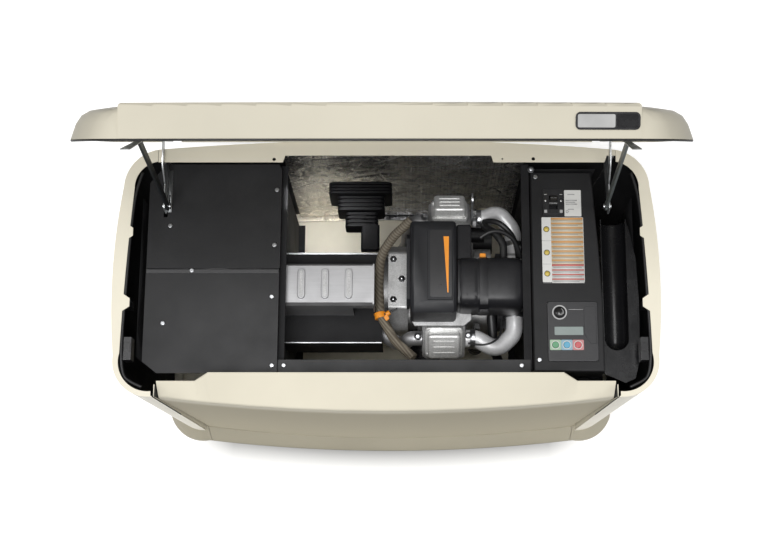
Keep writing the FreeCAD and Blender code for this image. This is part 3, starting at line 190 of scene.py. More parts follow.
def metal(name, col, rough=0.3, brushed=None, var=0.12, bump=0.08, grain=200, metallic=1.0, spots=0.0):
    m = NT(name)
    if brushed:
        sc = [600, 600, 600]
        sc["XYZ".index(brushed)] = 12
        vec = m.mapping(tuple(sc))
        g = m.noise(1.0, 4, 0.6, vec)
    else:
        g = m.noise(grain, 5, 0.6)
    c = m.mix(m.maprange(g, 0.3, 0.7, 0, 1), tuple(x * (1 - var) for x in col), col)
    if spots:
        c = m.mix(m.maprange(m.noise(22, 6, 0.7), 0.52, 0.75, 0, spots), c, tuple(x * 0.35 for x in col))
    r = m.maprange(m.noise(30, 5), 0.3, 0.7, rough - 0.06, rough + 0.1)
    b = m.bump(g, bump, 0.0004)
    m.set(color=c, rough=r, normal=b, metal=metallic)
    return m.m


def galvanised(name, base=(0.60, 0.62, 0.63)):
    m = NT(name)
    v = m.new("ShaderNodeTexVoronoi")
    v.inputs["Scale"].default_value = 70
    m.link(m.co.outputs["Object"], v.inputs["Vector"])
    s = m.new("ShaderNodeSeparateColor")
    m.link(v.outputs["Color"], s.inputs[0])
    c = m.mix(s.outputs[0], tuple(x * 0.66 for x in base), tuple(min(1, x * 1.2) for x in base))
    c = m.mix(m.maprange(m.noise(40, 6, 0.7), 0.5, 0.8, 0, 0.5), c, tuple(x * 0.45 for x in base))
    r = m.maprange(s.outputs[1], 0, 1, 0.32, 0.52)
    m.set(color=c, rough=r, metal=0.85, normal=m.bump(m.noise(260, 3), 0.12, 0.0005))
    return m.m


def cast(name, base=(0.52, 0.52, 0.52), rough=0.48, bump=0.55, dirt=0.5, metallic=0.7):
    m = NT(name)
    g = m.noise(330, 6, 0.65)
    c = m.mix(m.maprange(g, 0.3, 0.7, 0, 1), tuple(x * 0.72 for x in base), tuple(min(1, x * 1.12) for x in base))
    c = m.mix(m.maprange(m.noise(16, 6, 0.7), 0.48, 0.72, 0, dirt), c, tuple(x * 0.3 for x in base))
    r = m.maprange(m.noise(24, 5), 0.3, 0.7, rough - 0.08, rough + 0.14)
    b = m.bump(g, bump, 0.0007)
    b = m.bump(m.noise(40, 3), 0.2, 0.002, b)
    m.set(color=c, rough=r, metal=metallic, normal=b)
    return m.m


def plastic(name, col, rough=0.4, grain=700, bump=0.12, coat=0.0, var=0.15, scratch=0.0, spec=0.5):
    m = NT(name)
    g = m.noise(grain, 3, 0.6)
    c = m.mix(m.maprange(m.noise(8, 5, 0.6), 0.35, 0.7, 0, 1), tuple(x * (1 - var) for x in col),
              tuple(min(1, x * (1 + var)) for x in col))
    r = m.maprange(m.noise(20, 6, 0.7), 0.3, 0.7, rough - 0.06, rough + 0.08)
    b = m.bump(g, bump, 0.0004)
    m.set(color=c, rough=r, normal=b, coat=coat, coat_rough=0.12, spec=spec)
    return m.m


def foil(name, col=(0.62, 0.61, 0.60), dark=(0.26, 0.26, 0.27)):
    m = NT(name)
    vec = m.mapping((1, 1, 1))
    gx = m.wave(36, "X", vec)
    gz = m.wave(36, "Z", vec)
    grid = m.math("MAXIMUM", m.maprange(gx, 0.90, 1.0, 0, 1), m.maprange(gz, 0.90, 1.0, 0, 1))
    big = m.noise(9, 6, 0.65, dist=0.6)
    c = m.mix(m.maprange(big, 0.35, 0.7, 0, 1), dark, col)
    c = m.mix(m.math("MULTIPLY", grid, 0.5), c, (0.05, 0.05, 0.055))
    cre = m.voronoi(11, "DISTANCE_TO_EDGE", rnd=1.0)
    # near-white crease lines: painted highlights along the foil's creases
    crease_highlight_lines = m.voronoi(7, "DISTANCE_TO_EDGE", m.mapping((1.0, 1.0, 2.2), (0, 0.5, 0), (0.3, 0, 0.2)), 1.0)
    c = m.mix(m.maprange(crease_highlight_lines, 0.0, 0.012, 0.75, 0), c, (0.95, 0.95, 0.93))
    # warm tan, less metallic patch at the lower left: a painted reflection of light in the foil
    se = m.new("ShaderNodeSeparateXYZ")
    m.link(m.co.outputs["Object"], se.inputs[0])
    painted_reflection_patch = m.math("MULTIPLY", m.maprange(se.outputs[0], -0.02, -0.12, 0, 1), m.maprange(se.outputs[2], 0.50, 0.30, 0, 1))
    painted_reflection_patch = m.math("MULTIPLY", painted_reflection_patch, m.maprange(big, 0.25, 0.6, 0.55, 1.0))
    c = m.mix(painted_reflection_patch, c, (0.78, 0.72, 0.60))
    b = m.bump(m.maprange(cre, 0.0, 0.06, 0, 1), 0.5, 0.003)
    b = m.bump(m.noise(40, 6, 0.7), 0.6, 0.003, b)
    b = m.bump(grid, 0.35, 0.0006, b)
    m.set(color=c, rough=m.maprange(m.noise(50, 4), 0.3, 0.7, 0.16, 0.34), metal=m.maprange(painted_reflection_patch, 0, 1, 0.95, 0.35), normal=b)
    return m.m


def loom(name):
    m = NT(name)
    w1 = m.wave(95, "Y", None, 0.4)
    w2 = m.wave(60, "DIAGONAL", None, 0.5)
    c = m.mix(m.maprange(w2, 0.2, 0.9, 0, 1), (0.115, 0.095, 0.068), (0.225, 0.195, 0.150))
    c = m.mix(m.maprange(m.noise(30, 5, 0.7), 0.4, 0.7, 0, 0.4), c, (0.08, 0.07, 0.055))
    b = m.bump(w1, 0.5, 0.0012)
    b = m.bump(w2, 0.3, 0.0006, b)
    m.set(color=c, rough=0.55, normal=b, spec=0.35)
    return m.m


def bisque_with_painted_shade(name, col):
    """bisque powder coat with painted shade: below z 0.606 the colour is painted darker and rougher, standing in for
    the shade on the face under the crease
    """
    m = NT(name)
    n1 = m.noise(3.0, 5)
    c = m.mix(m.maprange(n1, 0.3, 0.7, 0, 1), tuple(x * 0.95 for x in col), tuple(min(1, x * 1.03) for x in col))
    se = m.new("ShaderNodeSeparateXYZ")
    m.link(m.co.outputs["Object"], se.inputs[0])
    # painted shade mask: 0 above z 0.606, rising to 1 at z 0.560; the colour below is darkened as painted shade
    painted_shade_mask = m.maprange(se.outputs[2], 0.606, 0.560, 0, 1)
    c = m.mix(painted_shade_mask, c, tuple(x * k for x, k in zip(col, (0.62, 0.60, 0.545))))
    r = m.maprange(m.noise(18, 4), 0.3, 0.7, 0.36, 0.48)
    b = m.bump(m.noise(420, 2, 0.5), 0.08, 0.0006)
    m.set(color=c, rough=m.maprange(painted_shade_mask, 0, 1, 0.46, 0.75), normal=b, coat=0.0, coat_rough=0.35, spec=0.14)
    return m.m


CREAM = (0.735, 0.69, 0.565)
MAT = {
    "foil_blanket": foil("foil_blanket"),
    "bisque_paint": paint("bisque_powder", CREAM, 0.40),
    "tan_floor": paint("tan_floor", (0.86, 0.81, 0.67), 0.55, 0.10, 0.15, 0.0, 2.0),
    # base skirt: khaki paint, its colour darkened further as painted shade on the front-facing skirt
    "khaki_skirt": paint("khaki_base_painted_shade", (0.40, 0.365, 0.275), 0.72, 0.07, 0.0, 0.0),
    "black_sheet": powder("black_powder", (0.014, 0.014, 0.015), 0.46, spec=0.35),
    "galvanised": galvanised("galvanised_steel"),
    "aluminised": metal("aluminised_sheet", (0.44, 0.44, 0.45), 0.44, "X", 0.10, 0.06, spots=0.12, metallic=0.8),
    "cast_alloy": cast("cast_alloy"),
    "bright_alloy": cast("bright_cast", (0.80, 0.80, 0.79), 0.40, 0.25, 0.18, 0.6),
    "zinc": metal("zinc_plate", (0.52, 0.53, 0.55), 0.32, None, 0.15, 0.05, 300),
    "engine_plastic": plastic("charcoal_grain", (0.018, 0.0185, 0.021), 0.44, 900, 0.2, 0.0, spec=0.3),
    "air_plastic": plastic("satin_black", (0.014, 0.014, 0.016), 0.36, 1000, 0.15, 0.0, spec=0.3),
    "filter_paper": plastic("filter_pleats", (0.6, 0.52, 0.34), 0.8, 300, 0.3),
    "satin_tube": metal("satin_tube", (0.86, 0.86, 0.87), 0.42, None, 0.12, 0.10, 160, metallic=0.35, spots=0.10),
    "black_rubber": plastic("hose_rubber", (0.014, 0.014, 0.015), 0.45, 500, 0.15, 0.1),
    "filter_can": plastic("filter_can", (0.02, 0.02, 0.022), 0.25, 200, 0.03, 0.4),
    "dipstick_plastic": plastic("dark_grip", (0.035, 0.035, 0.035), 0.4, 500, 0.1, 0.2),
    "forged_steel": metal("ground_steel", (0.48, 0.48, 0.50), 0.3, None, 0.2, 0.1, 200),
    "cast_iron": cast("grey_iron", (0.17, 0.17, 0.18), 0.55, 0.5, 0.4),
    "lamination": metal("laminations", (0.20, 0.17, 0.14), 0.5, "X", 0.4, 0.3, metallic=0.7),
    "battery_case": plastic("battery_case", (0.022, 0.022, 0.025), 0.36, 400, 0.1, 0.1),
    "panel_plastic": plastic("panel_grey", (0.015, 0.015, 0.016), 0.46, 1100, 0.25, spec=0.22),
    "controller_plastic": plastic("controller_black", (0.013, 0.013, 0.015), 0.36, 800, 0.1, 0.1),
    "green_button": plastic("green_button", (0.10, 0.29, 0.15), 0.35, 300, 0.05, 0.3),
    "blue_button": plastic("blue_button", (0.10, 0.34, 0.50), 0.35, 300, 0.05, 0.3),
    "red_button": plastic("red_button", (0.48, 0.09, 0.10), 0.35, 300, 0.05, 0.3),
    "breaker_toggle": plastic("toggle_black", (0.02, 0.02, 0.02), 0.3, 300, 0.05, 0.2),
    "gloss_black": plastic("gloss_black", (0.008, 0.008, 0.009), 0.24, 300, 0.03, 0.0, spec=0.4),
    "loom_sleeve": loom("loom_sleeve"),
    "bellows_rubber": plastic("bellows_rubber", (0.012, 0.012, 0.013), 0.42, 700, 0.15),
    "badge_plate": plastic("badge_black", (0.015, 0.015, 0.017), 0.25, 300, 0.03, 0.4),
    "stay_black": powder("stay_black", (0.016, 0.018, 0.020), 0.42),
    "stay_grey": powder("stay_grey", (0.12, 0.135, 0.135), 0.42, spec=0.6),
    "lock_black": plastic("lock_black", (0.014, 0.014, 0.015), 0.3, 300, 0.05, 0.2),
}
slot_of = {s["node"]: s["material_slot"] for s in frame["record"]["subparts"]}


def dress(o, mat):
    o.data.materials.clear()
    o.data.materials.append(mat)


def soften(o, w=0.0008, seg=2, angle=38):
    wd = o.modifiers.new("weld", "WELD")
    wd.merge_threshold = 0.00002
    if w:
        bv = o.modifiers.new("bevel", "BEVEL")
        bv.width = w
        bv.segments = seg
        bv.limit_method = "ANGLE"
        bv.angle_limit = math.radians(angle)
        bv.use_clamp_overlap = True
        bv.face_strength_mode = "FSTR_AFFECTED"
    for p in o.data.polygons:
        p.use_smooth = True
    wn = o.modifiers.new("wn", "WEIGHTED_NORMAL")
    wn.keep_sharp = True
    wn.weight = 80
    if w:
        wn.use_face_influence = True


INNER = powder("inner_lining", (0.012, 0.012, 0.013), 0.75, 500, 0.5)
BIG = ("end_panel_left", "end_panel_right", "rear_panel", "base_skirt_sides", "base_skirt_ends", "lid_shell",
       "front_panel", "control_panel", "engine_cover", "crankcase", "battery", "cable_trough")
SPLIT = {}
SHEET = ("exhaust_cover_rear", "exhaust_cover_front", "control_panel", "front_crossbar", "bulkheads", "alternator_shroud",
         "heat_shield", "controller")
for name, o in N.items():
    o.data.materials.clear()
    o.data.materials.append(MAT[slot_of[name]])
    # lid: a darker copy of the bisque paint (0.75 of CREAM), painted shade
    if name == "lid_shell":
        o.data.materials[0] = bisque_with_painted_shade("bisque_lid_painted_shade", tuple(k_ * 0.75 for k_ in CREAM))
    # front panel: bisque paint with painted shade on the face under the crease
    if name == "front_panel":
        o.data.materials[0] = bisque_with_painted_shade("bisque_front_painted_shade", CREAM)
    if name in ("alternator_shroud", "bulkheads"):
        o.data.materials[0] = INNER
    if name == "intake_bellows":
        o.data.materials[0] = plastic("bellows_black", (0.0025, 0.0025, 0.003), 0.55, 700, 0.12, spec=0.10)
    if name == "exhaust_cover_rear":
        o.data.materials[0] = powder("cover_black_rear", (0.020, 0.020, 0.021), 0.42, spec=0.22)
    if name in ("end_panel_left", "end_panel_right", "rear_panel"):
        # the inner face of each wall carries a black lining
        o.data.materials.append(INNER)
        o.data.materials.append(MAT["foil_blanket"])
        for pl in o.data.polygons:
            c, n = pl.center, pl.normal
            if name == "rear_panel":
                inside = n.y < -0.35 and c.z < 0.652 and c.y > 0.255
            else:
                sx = 1 if name == "end_panel_right" else -1
                rad = Vector((c.x - sx * 0.46, c.y * 0.35, 0)).normalized()
                inside = n.dot(rad) < -0.30 and c.z < 0.6565 and abs(n.z) < 0.6
                inside = inside or (n.z < -0.7 and c.z > 0.6)
            if inside:
                pl.material_index = 1
            elif name == "rear_panel" and n.z > 0.6 and c.z < 0.14:
                pl.material_index = 2
    me_ = o.data
    ec = np.zeros(len(me_.loops), dtype=np.int64)
    me_.loops.foreach_get("edge_index", ec)
    counts = np.bincount(ec, minlength=len(me_.edges))
    split = float((counts == 1).mean())
    SPLIT[name] = round(split, 3)
    if name in SHEET:
        for pl in me_.polygons:
            pl.use_smooth = True
    else:
        soften(o, 0.0011 if name in BIG else 0.0005)
print("SPLIT", SPLIT)


# ------------------------------------------------------------------ small made pieces
def link(o, body="cabinet"):
    bpy.context.collection.objects.link(o)
    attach(o, body)
    return o


def from_bm(name, bm, mat, body="cabinet", smooth=True, bevel=0.0, seg=3):
    bmesh.ops.recalc_face_normals(bm, faces=bm.faces)
    me = bpy.data.meshes.new(name)
    bm.to_mesh(me)
    bm.free()
    o = bpy.data.objects.new(name, me)
    for m in (mat if isinstance(mat, (list, tuple)) else [mat]):
        me.materials.append(m)
    for pl in me.polygons:
        pl.use_smooth = smooth
    link(o, body)
    if bevel:
        bv = o.modifiers.new("bevel", "BEVEL")
        bv.width = bevel
        bv.segments = seg
        bv.limit_method = "ANGLE"
        bv.angle_limit = math.radians(35)
        bv.face_strength_mode = "FSTR_AFFECTED"
        wn = o.modifiers.new("wn", "WEIGHTED_NORMAL")
        wn.use_face_influence = True
    return o


def plate(name, pts, z0, z1, mat, body="cabinet", bevel=0.0006, seg=3):
    bm = bmesh.new()
    lo = [bm.verts.new((x, y, z0)) for x, y in pts]
    hi = [bm.verts.new((x, y, z1)) for x, y in pts]
    n = len(pts)
    bm.faces.new(lo)
    bm.faces.new(hi)
    for i in range(n):
        bm.faces.new((lo[i], lo[(i + 1) % n], hi[(i + 1) % n], hi[i]))
    return from_bm(name, bm, mat, body, True, bevel, seg)


def round_rect(x0, y0, x1, y1, r, n=6):
    pts = []
    for cx, cy, a0 in ((x1 - r, y1 - r, 0), (x0 + r, y1 - r, 90), (x0 + r, y0 + r, 180), (x1 - r, y0 + r, 270)):
        for i in range(n + 1):
            a = math.radians(a0 + 90 * i / n)
            pts.append((cx + r * math.cos(a), cy + r * math.sin(a)))
    return pts


def circle(x, y, r, n=40):
    return [(x + r * math.cos(2 * math.pi * i / n), y + r * math.sin(2 * math.pi * i / n)) for i in range(n)]


def ring(name, x, y, z0, z1, r0, r1, mat, body="cabinet", n=48, bevel=0.0003):
    bm = bmesh.new()
    vs = []
    for r, z in ((r0, z0), (r1, z0), (r1, z1), (r0, z1)):
        vs.append([bm.verts.new((px, py, z)) for px, py in circle(x, y, r, n)])
    for k in range(4):
        for i in range(n):
            bm.faces.new((vs[k][i], vs[k][(i + 1) % n], vs[(k + 1) % 4][(i + 1) % n], vs[(k + 1) % 4][i]))
    return from_bm(name, bm, mat, body, True, bevel, 2)


def spin(name, prof, origin, axis, mat, body="cabinet", n=48):
    """turned piece: prof is (radius, distance along the axis)"""
    q = Vector((0, 0, 1)).rotation_difference(Vector(axis)).to_matrix()
    bm = bmesh.new()
    rows = []
    for r, h in prof:
        rows.append([bm.verts.new(Vector(origin) + q @ Vector((r * math.cos(2 * math.pi * i / n),
                                                              r * math.sin(2 * math.pi * i / n), h))) for i in range(n)])
    for a_, b_ in zip(rows, rows[1:]):
        for i in range(n):
            bm.faces.new((a_[i], a_[(i + 1) % n], b_[(i + 1) % n], b_[i]))
    bm.faces.new(rows[0])
    bm.faces.new(rows[-1])
    o = from_bm(name, bm, mat, body, True, 0.0)
    md = o.modifiers.new("wn", "WEIGHTED_NORMAL")
    md.weight = 60
    return o


def tube(name, pts, r, mat, body="cabinet", res=6, rings=10, kind="NURBS", profile=None, step=0.003):
    """swept tube along a smooth curve; profile(s) scales the radius along the length"""
    cu = bpy.data.curves.new(name + "_c", "CURVE")
    cu.dimensions = "3D"
    sp = cu.splines.new("NURBS")
    sp.points.add(len(pts) - 1)
    for p_, q_ in zip(sp.points, pts):
        p_.co = (*q_, 1)
    sp.order_u = min(3, len(pts))
    sp.use_endpoint_u = True
    sp.resolution_u = 40
    tmp = bpy.data.objects.new(name + "_t", cu)
    bpy.context.collection.objects.link(tmp)
    me0 = bpy.data.meshes.new_from_object(tmp)
    co = [v.co.copy() for v in me0.vertices]
    bpy.data.objects.remove(tmp)
    bpy.data.meshes.remove(me0)
    cum = [0.0]
    for a_, b_ in zip(co, co[1:]):
        cum.append(cum[-1] + (b_ - a_).length)
    L = cum[-1]
    k = max(8, int(L / step))
    path = []
    j = 0
    for i in range(k + 1):
        t = L * i / k
        while j < len(cum) - 2 and cum[j + 1] < t:
            j += 1
        f = (t - cum[j]) / max(1e-9, cum[j + 1] - cum[j])
        path.append((co[j].lerp(co[j + 1], min(1, f)), t))
    bm = bmesh.new()
    m = 20
    up = Vector((0, 0, 1))
    d0 = (path[1][0] - path[0][0]).normalized()
    u = d0.cross(up)
    if u.length < 0.1:
        u = d0.cross(Vector((1, 0, 0)))
    u.normalize()
    rows = []
    for i, (c, t) in enumerate(path):
        d = (path[min(i + 1, k)][0] - path[max(i - 1, 0)][0]).normalized()
        u = (u - d * u.dot(d)).normalized()
        v = d.cross(u)
        rr = r * (profile(t, L) if profile else 1.0)
        rows.append([bm.verts.new(c + u * rr * math.cos(2 * math.pi * a / m) + v * rr * math.sin(2 * math.pi * a / m))
                     for a in range(m)])
    for a_, b_ in zip(rows, rows[1:]):
        for i in range(m):
            bm.faces.new((a_[i], a_[(i + 1) % m], b_[(i + 1) % m], b_[i]))
    bm.faces.new(rows[0])
    bm.faces.new(rows[-1])
    return from_bm(name, bm, mat, body)


def P(*xs):
    return tuple(x / 1000 for x in xs)


WHITE_LBL = plastic("label_white", (0.62, 0.62, 0.60), 0.42, 300, 0.03, 0.1, 0.04)
CREAM_LBL = plastic("label_cream", (0.60, 0.52, 0.38), 0.45, 300, 0.03, 0.1, 0.06)
ORANGE_LBL = plastic("label_orange", (0.66, 0.33, 0.12), 0.42, 300, 0.03, 0.1, 0.06)
RED_LBL = plastic("label_red", (0.58, 0.15, 0.13), 0.42, 300, 0.03, 0.1, 0.06)
YEL_LBL = plastic("label_yellow", (0.60, 0.46, 0.10), 0.42, 300, 0.03, 0.1, 0.06)
GREY_LBL = plastic("label_grey", (0.38, 0.38, 0.38), 0.42, 300, 0.03, 0.1, 0.04)
DARK_LBL = plastic("label_black", (0.012, 0.012, 0.013), 0.3, 300, 0.03, 0.2, 0.1)
LCD = plastic("lcd_glass", (0.23, 0.27, 0.26), 0.18, 200, 0.02, 0.5, 0.04)
ORANGE = plastic("orange_plastic", (0.85, 0.30, 0.02), 0.4, 300, 0.1, 0.2, 0.15)
SILVER = metal("silver_foil", (0.72, 0.72, 0.72), 0.35, None, 0.08, 0.02, 300)

# ---- control bay
PZ = 0.620
px_, py_ = (0.349, 0.443), (-0.0225, 0.1285)
plate("warning_plate", round_rect(px_[0], py_[0], px_[1], py_[1], 0.002), PZ + 0.0001, PZ + 0.0009, WHITE_LBL, bevel=0.0002)
rows = [("o", 0.030), ("w", 0.028), ("o", 0.030), ("w", 0.028)]
z_ = PZ + 0.0009
yy = py_[1] - 0.001
colx = px_[0] + 0.021
groups = [(ORANGE_LBL, CREAM_LBL, 5), (ORANGE_LBL, CREAM_LBL, 5), (RED_LBL, WHITE_LBL, 4)]
rowh = (py_[1] - py_[0] - 0.002) / 28.0
r_i = 0
for gi, (head, body_c, cnt) in enumerate(groups):
    y_top_group = yy
    for k in range(cnt):
        h_head = rowh * (0.52 if k else 0.80)
        plate("lbl_head_%d_%d" % (gi, k), [(colx, yy - h_head), (px_[1] - 0.001, yy - h_head), (px_[1] - 0.001, yy), (colx, yy)],
              z_, z_ + 0.00025, head, bevel=0)
        yy -= h_head
        h_b = rowh * 1.46
        plate("lbl_body_%d_%d" % (gi, k), [(colx, yy - h_b), (px_[1] - 0.001, yy - h_b), (px_[1] - 0.001, yy), (colx, yy)],
              z_, z_ + 0.00022, body_c, bevel=0)
        plate("lbl_line_%d_%d" % (gi, k), [(colx + 0.003, yy - h_b * 0.62), (px_[1] - 0.006 - 0.006 * (k % 2), yy - h_b * 0.62),
                                          (px_[1] - 0.006 - 0.006 * (k % 2), yy - h_b * 0.40), (colx + 0.003, yy - h_b * 0.40)],
              z_ + 0.00022, z_ + 0.00032, GREY_LBL, bevel=0)
        yy -= h_b
    ym = (yy + y_top_group) / 2
    # a plain round dot in the left column
    plate("lbl_dot_%d" % gi, circle(px_[0] + 0.0105, ym, 0.0062, 32), z_, z_ + 0.0003, YEL_LBL, bevel=0)
    ring("lbl_dot_ring_%d" % gi, px_[0] + 0.0105, ym, z_, z_ + 0.00045, 0.0056, 0.0067, DARK_LBL, bevel=0)
    plate("lbl_rule_%d" % gi, [(px_[0] + 0.001, yy - 0.0002), (px_[1] - 0.001, yy - 0.0002), (px_[1] - 0.001, yy + 0.0004),
                               (px_[0] + 0.001, yy + 0.0004)], z_, z_ + 0.0004, GREY_LBL, bevel=0)
# switch plate beside the breaker
plate("switch_plate", round_rect(0.4015, 0.1305, 0.4395, 0.1925, 0.0015), PZ + 0.0001, PZ + 0.0009, WHITE_LBL, bevel=0.0002)
for i, (y0, w_) in enumerate(((0.181, 0.016), (0.167, 0.026), (0.1625, 0.022), (0.158, 0.026), (0.146, 0.014))):
    plate("switch_rule_%d" % i, [(0.409 if w_ < 0.02 else 0.4045, y0), ((0.409 if w_ < 0.02 else 0.4045) + w_, y0),
                                 ((0.409 if w_ < 0.02 else 0.4045) + w_, y0 + 0.0022), (0.409 if w_ < 0.02 else 0.4045, y0 + 0.0022)],
          z_, z_ + 0.0003, GREY_LBL, bevel=0)
ring("switch_ring", 0.4075, 0.1415, z_, z_ + 0.0003, 0.0022, 0.0030, DARK_LBL, bevel=0)
# breaker face details: on two poles, pale tick marks, rating windows and screws
for i, x in enumerate((0.3585, 0.3935)):
    plate("breaker_window_%d" % i, round_rect(x - 0.0032, 0.1375, x + 0.0032, 0.1445, 0.0008), PZ + 0.0060, PZ + 0.0064, GREY_LBL, bevel=0.0001)
    plate("breaker_mark_%d" % i, round_rect(x - 0.0030, 0.1800, x + 0.0030, 0.1812, 0.0003), PZ + 0.0060, PZ + 0.0064, WHITE_LBL, bevel=0)
    spin("breaker_screw_%d" % i, [(0.0001, 0), (0.0026, 0), (0.0026, 0.0006), (0.0018, 0.0012), (0.0001, 0.0012)], (x, 0.1660, PZ + 0.0060), (0, 0, 1), SILVER, n=20)
# controller face
CZ = 0.622
plate("controller_window", round_rect(0.3725, -0.1425, 0.4365, -0.1235, 0.0016), CZ - 0.0029, CZ - 0.0016, LCD, bevel=0.0002)
ring("controller_bezel", 0.3845, -0.0915, CZ, CZ + 0.0008, 0.0135, 0.0165, GREY_LBL)
plate("controller_disc", circle(0.3845, -0.0915, 0.0135), CZ, CZ + 0.0003, DARK_LBL, bevel=0)
for k in range(5):
    a = math.radians(200 + 35 * k)
    tube("controller_arc_%d" % k, [(0.3845 + (0.003 + 0.0016 * k) * math.cos(a + t), -0.0915 + (0.003 + 0.0016 * k) * math.sin(a + t), CZ + 0.0006)
                                   for t in (0, 0.5, 1.0, 1.5)], 0.0005, GREY_LBL, step=0.001)
plate("controller_rule", round_rect(0.4045, -0.0855, 0.4370, -0.0845, 0.0004), CZ, CZ + 0.0002, GREY_LBL, bevel=0)
plate("controller_shade", [(0.4385, -0.0780), (0.4650, -0.0780), (0.4650, -0.1620), (0.4520, -0.1620), (0.4385, -0.1400)][::-1], CZ, CZ + 0.0012, MAT["controller_plastic"], bevel=0.0006)
for nm, (x, col) in {"g": (0.374, WHITE_LBL), "b": (0.399, WHITE_LBL), "r": (0.424, WHITE_LBL)}.items():
    ring("button_halo_" + nm, x, -0.165, CZ, CZ + 0.0004, 0.0080, 0.0096, col)


def tile(name, x, y, hx, hy, r, z0, z1, mat, n=40):
    bm = bmesh.new()
    rows = []
    for z in (z0, z1):
        inn, out = [], []
        for i in range(n):
            a = 2 * math.pi * (i + 0.5) / n
            c_, s_ = math.cos(a), math.sin(a)
            k = min(hx / max(abs(c_), 1e-6), hy / max(abs(s_), 1e-6))
            inn.append(bm.verts.new((x + r * c_, y + r * s_, z)))
            out.append(bm.verts.new((x + k * c_, y + k * s_, z)))
        rows.append((inn, out))
    (i0, o0), (i1, o1) = rows
    for i in range(n):
        j = (i + 1) % n
        bm.faces.new((i1[i], i1[j], o1[j], o1[i]))
        bm.faces.new((i0[i], o0[i], o0[j], i0[j]))
        bm.faces.new((o0[i], o1[i], o1[j], o0[j]))
        bm.faces.new((i0[i], i0[j], i1[j], i1[i]))
    return from_bm(name, bm, mat, smooth=False)


GREEN_T = plastic("tile_green", (0.30, 0.42, 0.30), 0.4, 300, 0.03, 0.1, 0.05)
BLUE_T = plastic("tile_blue", (0.22, 0.36, 0.44), 0.4, 300, 0.03, 0.1, 0.05)
RED_T = plastic("tile_red", (0.46, 0.20, 0.20), 0.4, 300, 0.03, 0.1, 0.05)
for nm, x, m_ in (("g", 0.374, GREEN_T), ("b", 0.399, BLUE_T), ("r", 0.424, RED_T)):
    tile("button_tile_" + nm, x, -0.165, 0.0124, 0.0115, 0.0079, CZ + 0.00005, CZ + 0.0003, m_)

# ---- engine dressing
plate("cover_label", round_rect(0.0975, -0.052, 0.1465, 0.104, 0.004), 0.6031, 0.6037, plastic("label_charcoal", (0.020, 0.020, 0.022), 0.33, 400, 0.06, 0.2), bevel=0.0003)
plate("cover_wedge", [(0.1280, 0.0885), (0.1362, -0.0420), (0.1385, -0.0420), (0.1402, 0.0885)], 0.6037, 0.6041, ORANGE, bevel=0.0001)
fl_pts = [(0.050, -0.078), (0.062, -0.1000), (0.176, -0.1000), (0.193, -0.086), (0.193, -0.055), (0.050, -0.055)]
plate("blower_flange", fl_pts, 0.508, 0.5155, MAT["cast_alloy"], bevel=0.0018)
# rear shroud box beside the rear cylinder
plate("rear_shroud", round_rect(0.1585, 0.040, 0.1925, 0.128, 0.006), 0.508, 0.566, MAT["air_plastic"], bevel=0.004)
for i, (x, y, z) in enumerate(((0.070, -0.120, 0.492), (0.186, -0.119, 0.500), (0.086, 0.163, 0.500), (0.203, 0.158, 0.505))):
    spin("head_bolt_%d" % i, [(0.0001, 0), (0.0085, 0), (0.0085, 0.003), (0.0058, 0.0035), (0.0058, 0.0095), (0.0050, 0.0104), (0.0001, 0.0104)],
         (x, y, z), (0, -0.35 if y < 0 else 0.35, 1), MAT["zinc"], n=6 if i % 2 else 24)
# hose clamps on the intake pipes
for i, (x, y, z, ax) in enumerate(((0.197, -0.118, 0.458, (1, 0, 0)), (0.214, 0.171, 0.459, (1, 0, 0)), (0.297, -0.060, 0.440, (0, 1, 0)), (0.297, 0.112, 0.440, (0, 1, 0)))):
    spin("pipe_band_%d" % i, [(0.0202, -0.006), (0.0218, -0.006), (0.0222, -0.0045), (0.0214, -0.003), (0.0214, 0.003), (0.0222, 0.0045), (0.0218, 0.006), (0.0202, 0.006)],
         (x, y, z), ax, MAT["zinc"], n=48)
# latch over the air cleaner
plate("cleaner_latch", round_rect(0.2110, 0.0440, 0.2250, 0.0580, 0.002), 0.5620, 0.5700, ORANGE, bevel=0.0015)
# black hose arcs behind the air cleaner
tube("breather_a", [P(226, 152, 500), P(240, 148, 530), P(268, 134, 540), P(300, 100, 520), P(304, 66, 500)], 0.0062, MAT["black_rubber"])
tube("breather_b", [P(212, 96, 560), P(232, 112, 566), P(268, 112, 560), P(298, 92, 545), P(308, 60, 520)], 0.0050, MAT["black_rubber"])
# thin lead from the front head to the regulator side
tube("plug_lead", [P(186, -138, 500), P(214, -146, 512), P(246, -138, 512), P(266, -110, 500), P(262, -80, 486)], 0.0024, MAT["black_rubber"])
# clip on the loom with its tag and stud
lc = (-0.0182, -0.064, 0.4578)
spin("loom_clip", [(0.0113, -0.007), (0.0136, -0.007), (0.0140, -0.005), (0.0134, 0), (0.0140, 0.005), (0.0136, 0.007), (0.0113, 0.007)],
     lc, (0.22, -1, 0.06), ORANGE, n=40)
plate("loom_clip_tag", [(-0.010, -0.070), (-0.004, -0.080), (0.004, -0.074), (-0.002, -0.060)], 0.4655, 0.4715, ORANGE, bevel=0.0012)
tube("loom_clip_stud", [P(-2, -62, 468), P(8, -56, 470), P(22, -50, 472)], 0.0022, MAT["black_rubber"])
spin("loom_clip_nut", [(0.0001, -0.005), (0.0062, -0.005), (0.0062, 0.005), (0.0001, 0.005)], (0.000, -0.061, 0.4690), (0.8, 0.5, 0.1), ORANGE, n=6)
# regulated bosses and bolt heads on the adapter plate
for i, (x, y, z) in enumerate(((0.012, -0.020, 0.4365), (0.032, 0.030, 0.4365), (0.012, 0.078, 0.4365))):
    spin("adapter_bolt_%d" % i, [(0.0001, 0), (0.0085, 0), (0.0085, 0.0015), (0.0060, 0.0018), (0.0060, 0.0075), (0.0001, 0.0075)], (x, y, z - 0.0002), (0, 0, 1), MAT["zinc"], n=6)

